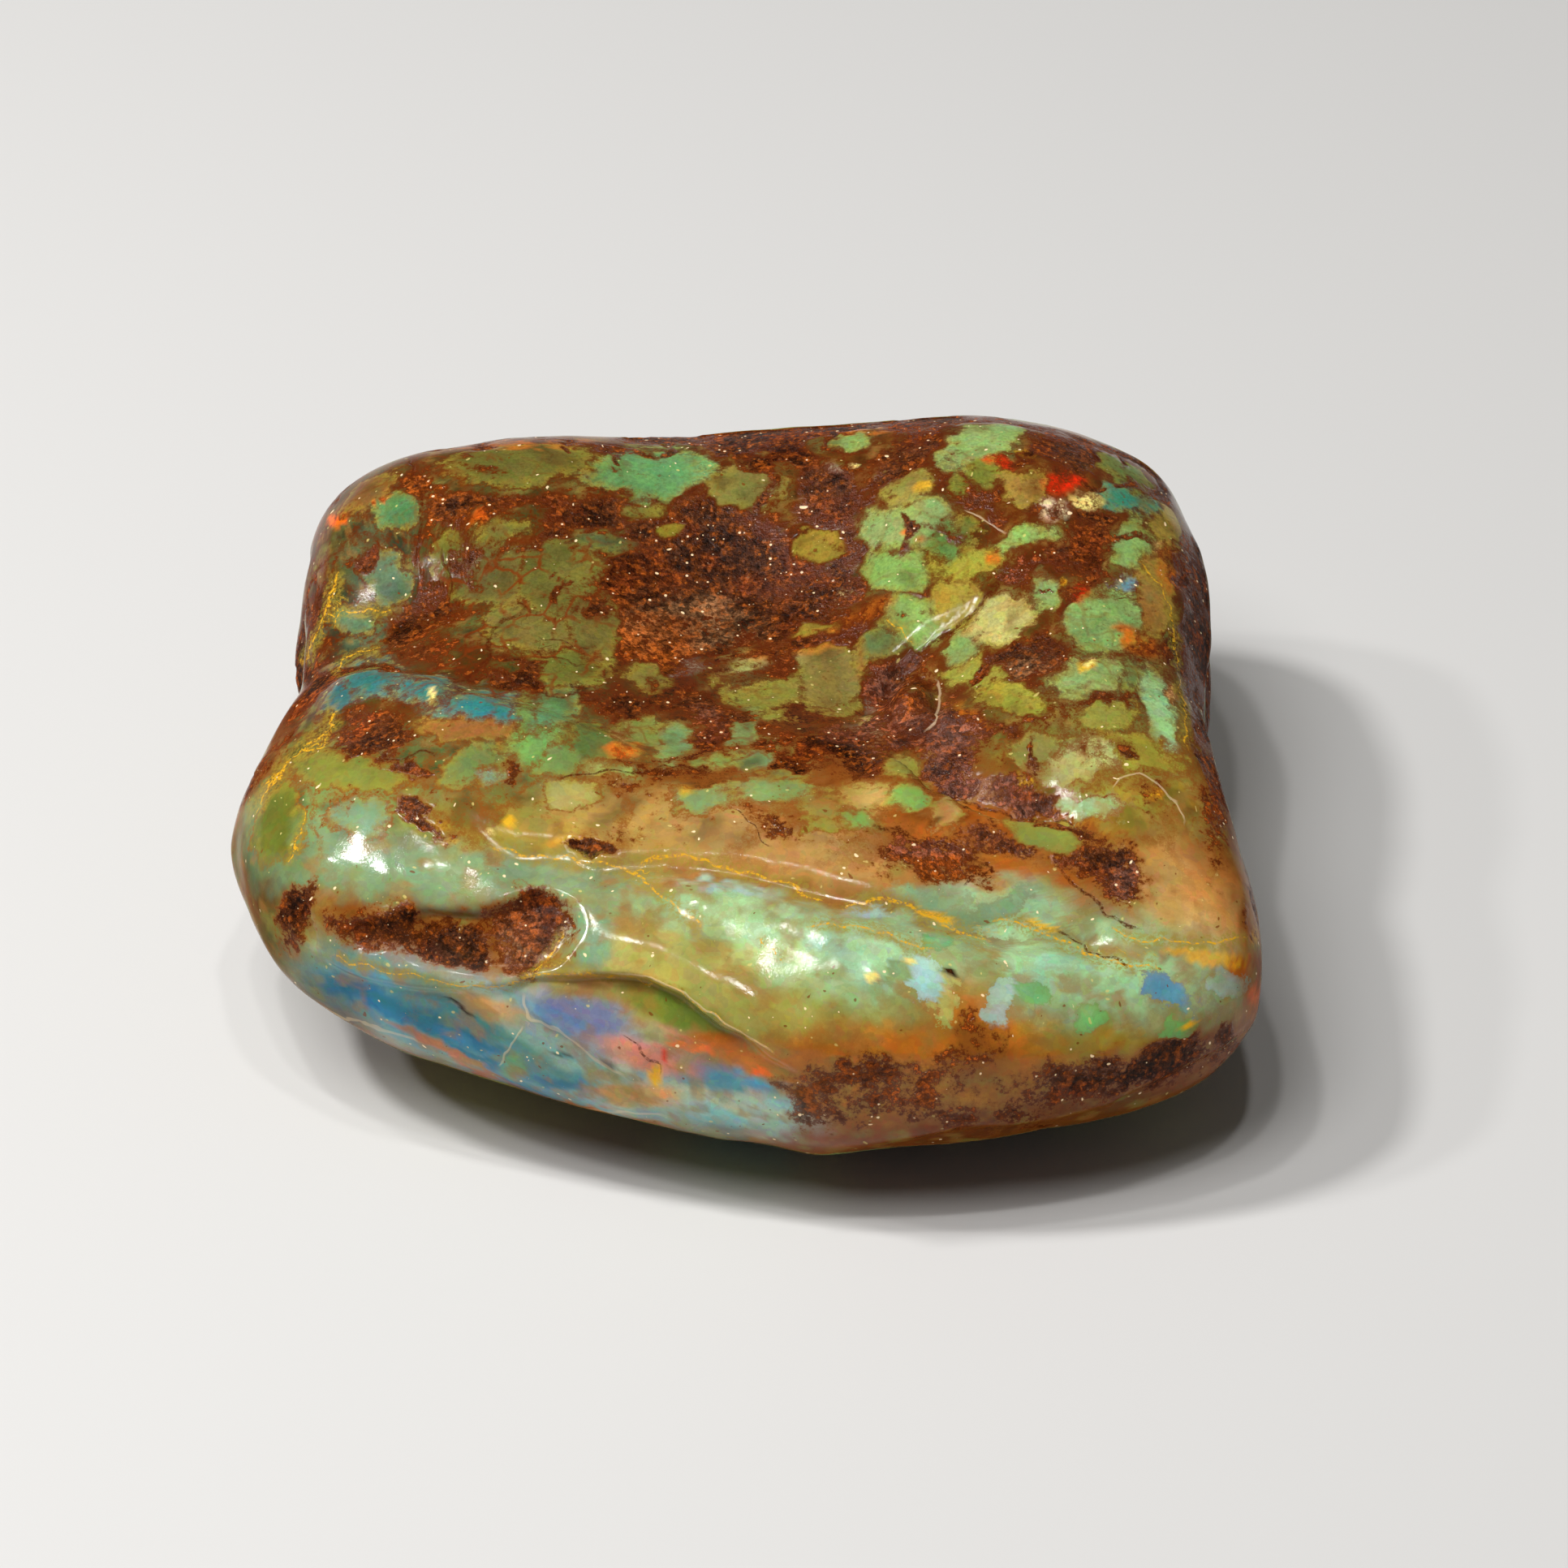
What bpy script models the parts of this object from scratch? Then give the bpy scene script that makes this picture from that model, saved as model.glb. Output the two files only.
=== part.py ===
# A tumbled pebble of rough blue amber, polished all over, with a dished top and a chipped front.
# It is one solid that rests on a small flat spot cut in its underside.
# The form is worked out in millimetres, x to the right, y away from the front and z up.

import math

import bmesh
import bpy
import numpy as np

# Driving dimensions, in millimetres and degrees
MM = 0.001
TOP_HEIGHT = 14.5
TOP_TILT = 0.075
FLAT_CUT = 0.28
SLANT = math.radians(38)
GRID_STEPS = 72
TRIANGLES = 9300

# How far the stone reaches from its middle, at each bearing counted from +x towards +y
REACH = {
    6: 18.7, 21: 20.6, 33: 23.0, 46: 24.0, 62: 22.4, 76: 20.4, 90: 19.8, 106: 20.0,
    123: 22.6, 139: 24.2, 153: 21.6, 164: 20.0, 178: 20.1, 191: 21.3, 207: 21.6, 218: 20.6,
    236: 18.5, 254: 17.7, 270: 18.3, 288: 19.1, 305: 21.0, 315: 22.5, 326: 23.6, 343: 20.9,
}
# The height of the widest line at each bearing, and how square the flanks are above and below it
BELT = {0: 8.0, 45: 8.7, 90: 8.9, 135: 8.3, 180: 8.0, 215: 8.0, 250: 7.2, 290: 6.4, 325: 6.4}
UPPER = {0: 3.2, 45: 3.0, 90: 3.2, 135: 3.0, 180: 2.9, 225: 3.0, 270: 2.9, 310: 2.7}
LOWER = {0: 2.4, 60: 2.4, 90: 2.2, 140: 2.4, 180: 2.3, 225: 2.4, 270: 2.8, 315: 2.7}

# Broad swells and hollows of the top: centre x, y, radii, turn, height
SWELLS = {
    "dish": (0, 4, 11, 9, 0, -2.4),
    "brown hollow": (-1, 8, 6.5, 5, 0, -0.8),
    "back right mound": (11, 14, 7, 6, 0, 1.3),
    "back left mound": (-13, 14, 7, 5, 0, 0.6),
    "back saddle": (-3, 17, 5, 2.4, 0, -0.45),
    "left shoulder": (-14, -6.5, 7, 5, 20, 1.1),
    "left valley": (-17, 5, 7, 2.6, 15, -1.6),
    "right swell": (14, 3, 5, 7, 0, 0.5),
    "right fall": (14, -11, 8, 6, 0, -1.5),
    "spine": (6.5, 9, 1.6, 4, -10, 0.5),
    "knob pit": (6.3, 0.6, 3.6, 3.0, 20, -1.1),
    "knob": (6.2, -0.1, 1.15, 1.2, 0, 1.1),
    "blister": (7.7, -2.1, 1.0, 0.8, 0, 0.55),
    "front hollow": (-5.5, -8, 3.5, 1.6, -12, -0.35),
    "front swell": (2, -9, 4, 2, -5, 0.3),
    "left swell": (-8, 5, 3, 2.5, 0, 0.3),
}
# Lines over the top, as x, y
CRACK = [(10.1, 5.3), (8.2, 4.2), (7.2, 3.7), (6.0, 2.5), (4.9, 0.0), (3.6, -1.2)]
SCARP = [(4.6, -4.0), (6.0, -5.4), (7.2, -6.5), (8.4, -7.3), (9.6, -7.7), (11.2, -7.8), (12.7, -8.0),
         (14.5, -9.0)]
SEAM = [(-13, -8.8), (-9.4, -10.6), (-6, -11.2), (-3.5, -11), (-1.4, -11.6), (1.4, -12.3), (4.8, -12.8),
        (9.5, -13.2), (12.2, -13.4), (16, -13.8)]
CREST = [(-18.4, 1.2), (-15.6, 0.5), (-13.8, -0.7), (-12, -2.3), (-9.7, -3.1), (-7.4, -4), (-4.8, -5.2),
         (-1.5, -6.2)]
RIM = [(16.2, 9.5), (17.3, 6), (17.5, 1), (17.8, -3.5), (18.8, -7.5), (20.3, -11)]

# Forms of the front, drawn on a plane that leans back by SLANT: u to the right, v up it
POCKET = [  # scoops that join in one shallow hollow: centre u, v, radii, turn, share
    (-17.9, -5.6, 0.55, 1.3, 25, 0.6),
    (-15.4, -5.9, 0.9, 0.8, 0, 0.55),
    (-13.2, -6.0, 1.3, 1.0, 20, 0.8),
    (-11.6, -6.2, 1.5, 1.2, 0, 0.9),
    (-9.0, -6.0, 1.9, 1.35, 22, 1.3),
]
LEDGE = [(-17.6, -6.6), (-16.2, -7.3), (-13.6, -7.9), (-11.7, -8.1), (-9.8, -7.9), (-8.8, -7.6), (-6.4, -7.4),
         (-4.1, -7.5), (-2.7, -8.1), (-1.1, -9.4), (-0.1, -9.9), (0.7, -10.6), (1.9, -11.2), (2.6, -12.6),
         (3.2, -14.5)]
FOLD = [(-9.2, -8.0), (-8.7, -9.1), (-7.8, -9.7), (-6.4, -10.7), (-5.2, -11.5), (-4.6, -12.4)]
LIP = [(1.5, -14.4), (3.6, -14.1), (7.6, -13.3), (11.5, -12.9), (13.8, -12.3), (16.1, -11.3), (18.4, -10.2),
       (20.2, -8.7)]

# Swellings and scoops of the sides, back and underside: centre x, y, z, radii x, y, z, push outwards
LUMPS = {
    "back scoop": (0, 20, 7.5, 7, 4, 2.6, -0.8),
    "back swelling": (9, 20, 5, 5, 4, 2.6, 0.8),
    "back shelf": (-9, 19, 3.6, 5, 4, 2.0, 0.7),
    "back left dent": (-14, 18, 9.5, 3, 4, 2.2, -0.5),
    "back right boss": (15, 17, 10, 3, 3, 2.5, 0.5),
    "right bulge": (21, 4, 5.5, 4, 5, 2.2, 0.7),
    "right trough": (20, -3, 8.5, 4, 6, 1.3, -0.6),
    "right back dent": (21, 12, 9, 4, 3, 2.5, -0.5),
    "right front dent": (22, -13, 4.5, 4, 3, 1.6, -0.5),
    "left waist": (-21, 5, 6, 4, 2.2, 4.5, -0.7),
    "left back bulge": (-21, 11, 5, 4, 4, 2.2, 0.6),
    "left front bulge": (-21, -4, 6.5, 4, 4, 2.4, 0.5),
    "left front dent": (-20, -8, 3.2, 4, 3, 1.5, -0.4),
    "left under hollow": (-12, -2, 0.6, 4, 5, 2.5, -0.5),
    "right under hollow": (12, 7, 0.6, 5, 4, 2.5, -0.6),
    "front under swelling": (10, -11, 1.0, 5, 3, 2.0, 0.5),
}
# Creases in the sides: points x, y, z, then width and depth
CREASES = {
    "right fold": ([(20, -12, 7), (19.6, -4, 8.8), (18.6, 4, 7.6), (20.5, 12, 9.5), (17, 17.5, 8.2)], 0.9, 0.5),
    "back fold": ([(-13, 19, 12.5), (-6, 20.5, 8), (2, 20, 6.8), (9, 20, 8.8), (15, 18, 7.4)], 0.8, 0.45),
    "left fold": ([(-19.5, 9, 11.5), (-20.3, 7.5, 8), (-20, 3, 5), (-21, -3, 4), (-20, -9, 5.5)], 0.8, 0.5),
    "left back fold": ([(-19, 14, 10), (-19.8, 11, 7), (-19.5, 8, 3.5)], 0.6, 0.3),
    "back crease": ([(3, 20, 12), (5, 20.5, 8), (4, 19, 3.5)], 0.7, 0.35),
}
# Gentle unevenness everywhere: wavelength, height, seed
UNEVEN = [(5.2, 0.22, 1), (2.4, 0.12, 2)]


def smooth(start, end, value):
    """Rises smoothly from 0 at start to 1 at end."""
    t = np.clip((value - start) / (end - start), 0, 1)
    return t * t * (3 - 2 * t)


def around(bearing, table):
    """A smooth closed curve through the table's values, read at each bearing in degrees."""
    knots = np.array(sorted(table), float)
    values = np.array([table[k] for k in sorted(table)], float)
    knots = np.concatenate([knots[-2:] - 360, knots, knots[:2] + 360])
    values = np.concatenate([values[-2:], values, values[:2]])
    slopes = np.gradient(values, knots)
    angle = np.mod(bearing, 360.0)
    angle = np.where(angle < knots[1], angle + 360, angle)
    i = np.clip(np.searchsorted(knots, angle, side="right") - 1, 0, len(knots) - 2)
    span = knots[i + 1] - knots[i]
    t = (angle - knots[i]) / span
    ends = (2 * t**3 - 3 * t**2 + 1) * values[i] + (3 * t**2 - 2 * t**3) * values[i + 1]
    return ends + ((t**3 - 2 * t**2 + t) * slopes[i] + (t**3 - t**2) * slopes[i + 1]) * span


def bell(x, y, cx, cy, rx, ry, turn):
    """A rounded mound of height 1, with its long axis turned by some degrees."""
    t = math.radians(turn)
    along = (x - cx) * math.cos(t) + (y - cy) * math.sin(t)
    across = (y - cy) * math.cos(t) - (x - cx) * math.sin(t)
    return np.exp(-((along / rx) ** 2 + (across / ry) ** 2))


def nearest(places, points):
    """Distance to a line of points, the side it is on (left is above 0) and the share of its length."""
    points = np.array(points, float)
    steps = np.diff(points, axis=0)
    lengths = np.linalg.norm(steps, axis=1)
    distance = np.full(len(places), np.inf)
    side = np.ones(len(places))
    share = np.zeros(len(places))
    done = 0.0
    for start, step, length in zip(points[:-1], steps, lengths):
        t = np.clip((places - start) @ step / length**2, 0, 1)
        off = places - start - t[:, None] * step
        away = np.linalg.norm(off, axis=1)
        closer = away < distance
        distance = np.where(closer, away, distance)
        side = np.where(closer, np.sign(step[0] * off[:, 1] - step[1] * off[:, 0]), side)
        share = np.where(closer, (done + t * length) / lengths.sum(), share)
        done += length
    return distance, distance * side, share


def lattice(i, j, k):
    """A fixed value from -1 to 1 for each whole-numbered place."""
    n = (i * 73856093) ^ (j * 19349663) ^ (k * 83492791)
    n = (n ^ (n >> 13)) * 1274126177 & 0x7FFFFFFF
    return ((n ^ (n >> 16)) & 0xFFFF) / 32767.5 - 1


def noise(x, y, z, size, seed):
    """Smooth unevenness from -1 to 1, with lumps of about the given size."""
    place = [c / size + 100.5 + seed * 17.3 for c in (x, y, z)]
    whole = [np.floor(c).astype(np.int64) for c in place]
    part = [c - w for c, w in zip(place, whole)]
    part = [c**3 * (c * (c * 6 - 15) + 10) for c in part]
    total = 0
    for a in (0, 1):
        for b in (0, 1):
            for c in (0, 1):
                weight = 1
                for corner, share in zip((a, b, c), part):
                    weight = weight * (share if corner else 1 - share)
                total = total + weight * lattice(whole[0] + a, whole[1] + b, whole[2] + c)
    return total


def roof(x, y):
    """Height of the top: a tilted plane with swells, a crack, a scarp, a seam, a crest and a rim."""
    z = TOP_HEIGHT + TOP_TILT * y
    for cx, cy, rx, ry, turn, height in SWELLS.values():
        z = z + height * bell(x, y, cx, cy, rx, ry, turn)
    wobble = 0.35 * noise(x, y, 0 * x, 2.2, 3)

    distance, side, share = nearest(np.stack([x, y], 1), CRACK)
    z = z - 0.7 * np.exp(-((distance / 0.5) ** 2)) * smooth(0, 0.15, share) * smooth(1, 0.85, share)

    distance, side, share = nearest(np.stack([x + wobble, y + wobble], 1), SCARP)
    fade = smooth(0, 0.2, share) * smooth(1, 0.7, share)
    z = z - fade * smooth(-0.25, 0.3, side) * np.exp(-((np.maximum(side, 0) / 2.4) ** 2))
    z = z + 0.3 * fade * np.exp(-(((side + 0.8) / 0.9) ** 2))

    distance, side, share = nearest(np.stack([x, y + wobble], 1), SEAM)
    fade = smooth(0, 0.2, share) * smooth(1, 0.9, share)
    z = z - 0.55 * fade * np.exp(-((distance / 0.75) ** 2))
    z = z + 0.25 * fade * np.exp(-(((side + 1.3) / 1.0) ** 2)) * smooth(-4, -2, x)

    distance, side, share = nearest(np.stack([x, y + 0.5 * wobble], 1), CREST)
    fade = smooth(1, 0.6, share) * smooth(0, 0.1, share)
    z = z + 0.45 * fade * np.exp(-(np.where(side > 0, side / 0.9, side / 2.4) ** 2))
    z = z - 0.3 * fade * np.exp(-(((side - 1.8) / 1.2) ** 2))

    distance, side, share = nearest(np.stack([x, y], 1), RIM)
    return z + 0.35 * np.exp(-((distance / 1.2) ** 2)) * smooth(0, 0.2, share) * smooth(1, 0.8, share)


def front(x, y, z):
    """Push outwards on the front: the pocket, the chipped face under its ledge, a fold and the lower lip."""
    u = x
    v = y * math.sin(SLANT) + (z - 8) * math.cos(SLANT)
    wobble = 0.3 * noise(x, y, z, 1.7, 5)
    scoop = 0
    for cx, cy, rx, ry, turn, share in POCKET:
        scoop = scoop + share * bell(u + wobble, v + 0.7 * wobble, cx, cy, rx, ry, turn)
    push = -0.55 * smooth(0.22, 0.62, scoop) - 0.15 * smooth(0.5, 1.1, scoop)

    distance, side, share = nearest(np.stack([u, v + 0.4 * wobble], 1), LEDGE)
    depth = 0.35 + 0.4 * smooth(-9, -5, u)
    fade = smooth(-18.5, -16, u) * smooth(3, -1, u)
    push = push - depth * fade * smooth(0.12, -0.4, side) * np.exp(-((np.maximum(-side, 0) / 4.2) ** 2))
    push = push + 0.3 * np.exp(-(((side - 1.1) / 1.1) ** 2)) * smooth(-8, -4, u) * smooth(3, 0, u)

    distance, side, share = nearest(np.stack([u, v], 1), FOLD)
    fade = smooth(0, 0.15, share) * smooth(1, 0.8, share)
    push = push + 0.22 * fade * smooth(-0.15, 0.15, side) * np.exp(-((np.maximum(side, 0) / 1.6) ** 2))

    distance, side, share = nearest(np.stack([u, v + 0.3 * wobble], 1), LIP)
    fade = smooth(0, 0.35, share) * smooth(1, 0.85, share)
    push = push + 0.3 * fade * np.exp(-(np.where(side > 0, side / 1.4, side / 0.35) ** 2))
    return push - 0.35 * fade * np.exp(-(((side + 0.75) / 0.5) ** 2))


def flanks(x, y, z):
    """Push outwards on the sides, back and underside: swellings, scoops and creases."""
    push = np.zeros_like(x)
    for cx, cy, cz, rx, ry, rz, height in LUMPS.values():
        push = push + height * np.exp(-((x - cx) / rx) ** 2 - ((y - cy) / ry) ** 2 - ((z - cz) / rz) ** 2)
    wobble = 0.5 * noise(x, y, z, 2.5, 8)
    for points, width, depth in CREASES.values():
        distance, side, share = nearest(np.stack([x + wobble, y + wobble, z - wobble], 1), points)
        ends = smooth(0, 0.15, share) * smooth(1, 0.85, share)
        push = push - depth * ends * np.exp(-((np.maximum(distance - 0.9, 0) / width) ** 2))
    return push


def stone_points(direction):
    """Where the stone's skin lies, in millimetres, for directions from its middle."""
    bearing = np.degrees(np.arctan2(direction[:, 1], direction[:, 0]))
    lift = np.abs(direction[:, 2])
    above = direction[:, 2] >= 0
    square = np.where(above, around(bearing, UPPER), around(bearing, LOWER))
    belt = around(bearing, BELT)
    out = around(bearing, REACH) * np.clip(1 - lift**2, 0, 1) ** (1 / square)
    x = out * np.cos(np.radians(bearing))
    y = out * np.sin(np.radians(bearing))
    climb = lift ** (2 / square)
    z = np.where(above, belt + (roof(x, y) - belt) * climb, belt - (belt + FLAT_CUT) * climb)

    facing = direction[:, 2] * math.sin(SLANT) - direction[:, 1] * math.cos(SLANT)
    push = front(x, y, z) * smooth(0.05, 0.35, facing) * smooth(-5.5, -9, y)
    hidden = 1 - smooth(-0.1, 0.25, facing) * smooth(-2, -8, y)
    push = push + flanks(x, y, z) * hidden * np.where(above, smooth(0.97, 0.75, climb), 1)
    share = 0.25 + 0.75 * (1 - smooth(0.5, 0.9, np.where(above, climb, 0))) * hidden
    for size, height, seed in UNEVEN:
        push = push + share * height * noise(x, y, z, size, seed)
    push = push * np.where(above, 1, 1 - 0.95 * smooth(0.86, 0.96, climb))
    return np.stack([x, y, z], 1) + push[:, None] * direction


def clear_scene():
    for old in list(bpy.data.objects):
        bpy.data.objects.remove(old, do_unlink=True)


def stone_skin():
    """A gridded cube, swelled to a ball of even squares and then moved to the stone's skin."""
    ball = bmesh.new()
    bmesh.ops.create_cube(ball, size=2)
    bmesh.ops.subdivide_edges(ball, edges=ball.edges[:], cuts=GRID_STEPS - 1, use_grid_fill=True)
    mesh = bpy.data.meshes.new("stone_skin")
    ball.to_mesh(mesh)
    ball.free()
    places = np.empty(len(mesh.vertices) * 3)
    mesh.vertices.foreach_get("co", places)
    direction = np.tan(places.reshape(-1, 3) * math.pi / 4)
    direction /= np.linalg.norm(direction, axis=1)[:, None]
    mesh.vertices.foreach_set("co", (stone_points(direction) * MM).ravel())
    mesh.update()
    return mesh


def thinned(mesh):
    """The same skin with its triangles spent where the form bends."""
    holder = bpy.data.objects.new("stone_holder", mesh)
    bpy.context.scene.collection.objects.link(holder)
    thin = holder.modifiers.new("thin", "DECIMATE")
    thin.ratio = TRIANGLES / (12 * GRID_STEPS**2)
    thin.use_collapse_triangulate = True
    ready = holder.evaluated_get(bpy.context.evaluated_depsgraph_get())
    result = bpy.data.meshes.new_from_object(ready)
    bpy.data.objects.remove(holder, do_unlink=True)
    return result


def rest_and_centre(mesh):
    """Cuts the flat spot at z = 0, then puts the middle of the stone's box over the origin."""
    form = bmesh.new()
    form.from_mesh(mesh)
    everything = form.verts[:] + form.edges[:] + form.faces[:]
    cut = bmesh.ops.bisect_plane(form, geom=everything, dist=1e-7, plane_no=(0, 0, -1), clear_outer=True)
    rim = [edge for edge in cut["geom_cut"] if isinstance(edge, bmesh.types.BMEdge)]
    flat = bmesh.ops.contextual_create(form, geom=rim)["faces"]
    for face in form.faces:
        face.smooth = True
    for face in flat:
        face.smooth = False
    for edge in rim:
        edge.smooth = False
    bmesh.ops.recalc_face_normals(form, faces=form.faces[:])
    places = np.array([vertex.co[:] for vertex in form.verts])
    middle = (places.min(0) + places.max(0)) / 2
    bmesh.ops.translate(form, verts=form.verts[:], vec=(-middle[0], -middle[1], 0))
    form.to_mesh(mesh)
    form.free()
    mesh.update()
    print("size in mm", np.round((places.max(0) - places.min(0)) / MM, 2), "middle", np.round(middle / MM, 3))


def amber_material():
    material = bpy.data.materials.new("mottled_amber")
    material.use_nodes = True
    shader = material.node_tree.nodes["Principled BSDF"]
    shader.inputs["Base Color"].default_value = (0.16, 0.17, 0.06, 1)
    shader.inputs["Roughness"].default_value = 0.22
    shader.inputs["Metallic"].default_value = 0.0
    shader.inputs["IOR"].default_value = 1.54
    shader.inputs["Coat Weight"].default_value = 0.6
    material.diffuse_color = (0.16, 0.17, 0.06, 1)
    return material


clear_scene()
skin = thinned(stone_skin())
rest_and_centre(skin)
skin.materials.clear()
skin.materials.append(amber_material())
stone = bpy.data.objects.new("amber_stone", skin)
bpy.context.scene.collection.objects.link(stone)
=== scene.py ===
import math

import bpy
import numpy as np
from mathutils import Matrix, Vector


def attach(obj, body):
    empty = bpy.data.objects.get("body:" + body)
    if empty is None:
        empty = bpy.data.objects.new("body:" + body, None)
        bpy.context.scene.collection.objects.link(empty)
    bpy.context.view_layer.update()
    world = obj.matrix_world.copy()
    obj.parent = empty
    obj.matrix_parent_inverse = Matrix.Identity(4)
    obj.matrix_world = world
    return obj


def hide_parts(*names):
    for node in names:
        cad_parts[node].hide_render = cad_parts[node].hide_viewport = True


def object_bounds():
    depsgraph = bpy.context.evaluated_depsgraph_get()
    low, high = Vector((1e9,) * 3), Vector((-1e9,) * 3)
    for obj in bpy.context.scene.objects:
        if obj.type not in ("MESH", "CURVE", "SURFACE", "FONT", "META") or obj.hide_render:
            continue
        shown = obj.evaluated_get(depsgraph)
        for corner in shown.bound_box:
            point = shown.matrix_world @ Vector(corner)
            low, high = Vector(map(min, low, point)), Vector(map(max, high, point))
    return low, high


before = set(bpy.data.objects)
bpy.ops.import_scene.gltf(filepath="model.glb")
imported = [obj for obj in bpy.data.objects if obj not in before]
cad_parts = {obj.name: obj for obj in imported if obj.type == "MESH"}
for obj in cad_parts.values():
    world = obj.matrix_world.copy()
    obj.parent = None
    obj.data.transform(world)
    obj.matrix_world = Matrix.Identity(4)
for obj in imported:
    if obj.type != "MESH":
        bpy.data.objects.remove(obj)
cadBox = [list(corner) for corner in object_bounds()]
print("frame loaded")

mm = 0.001

# The camera stands in front of the stone and looks down on it. Places are in millimetres, turns in degrees.
shot = {
    "target": (1.72, -0.79, 8.0),
    "distance": 270.0,
    "lookDown": 38.0,
    "lens": 150.9,
    "sensor": 36.0,
    "image": 1932,      # width and height of the picture, in pixels
}
slopeSin = math.sin(math.radians(shot["lookDown"]))
slopeCos = math.cos(math.radians(shot["lookDown"]))
eye = np.array(shot["target"]) + shot["distance"] * np.array([0, -slopeCos, slopeSin])
pixelsPerMm = shot["lens"] / shot["sensor"] * shot["image"] / shot["distance"]

cameraData = bpy.data.cameras.new("camera")
cameraData.lens = shot["lens"]
cameraData.sensor_width = shot["sensor"]
cameraData.clip_start = 0.01
camera = bpy.data.objects.new("camera", cameraData)
bpy.context.scene.collection.objects.link(camera)
camera.location = eye * mm
camera.rotation_euler = (math.radians(90 - shot["lookDown"]), 0, 0)
bpy.context.scene.camera = camera
print("camera placed")

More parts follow.
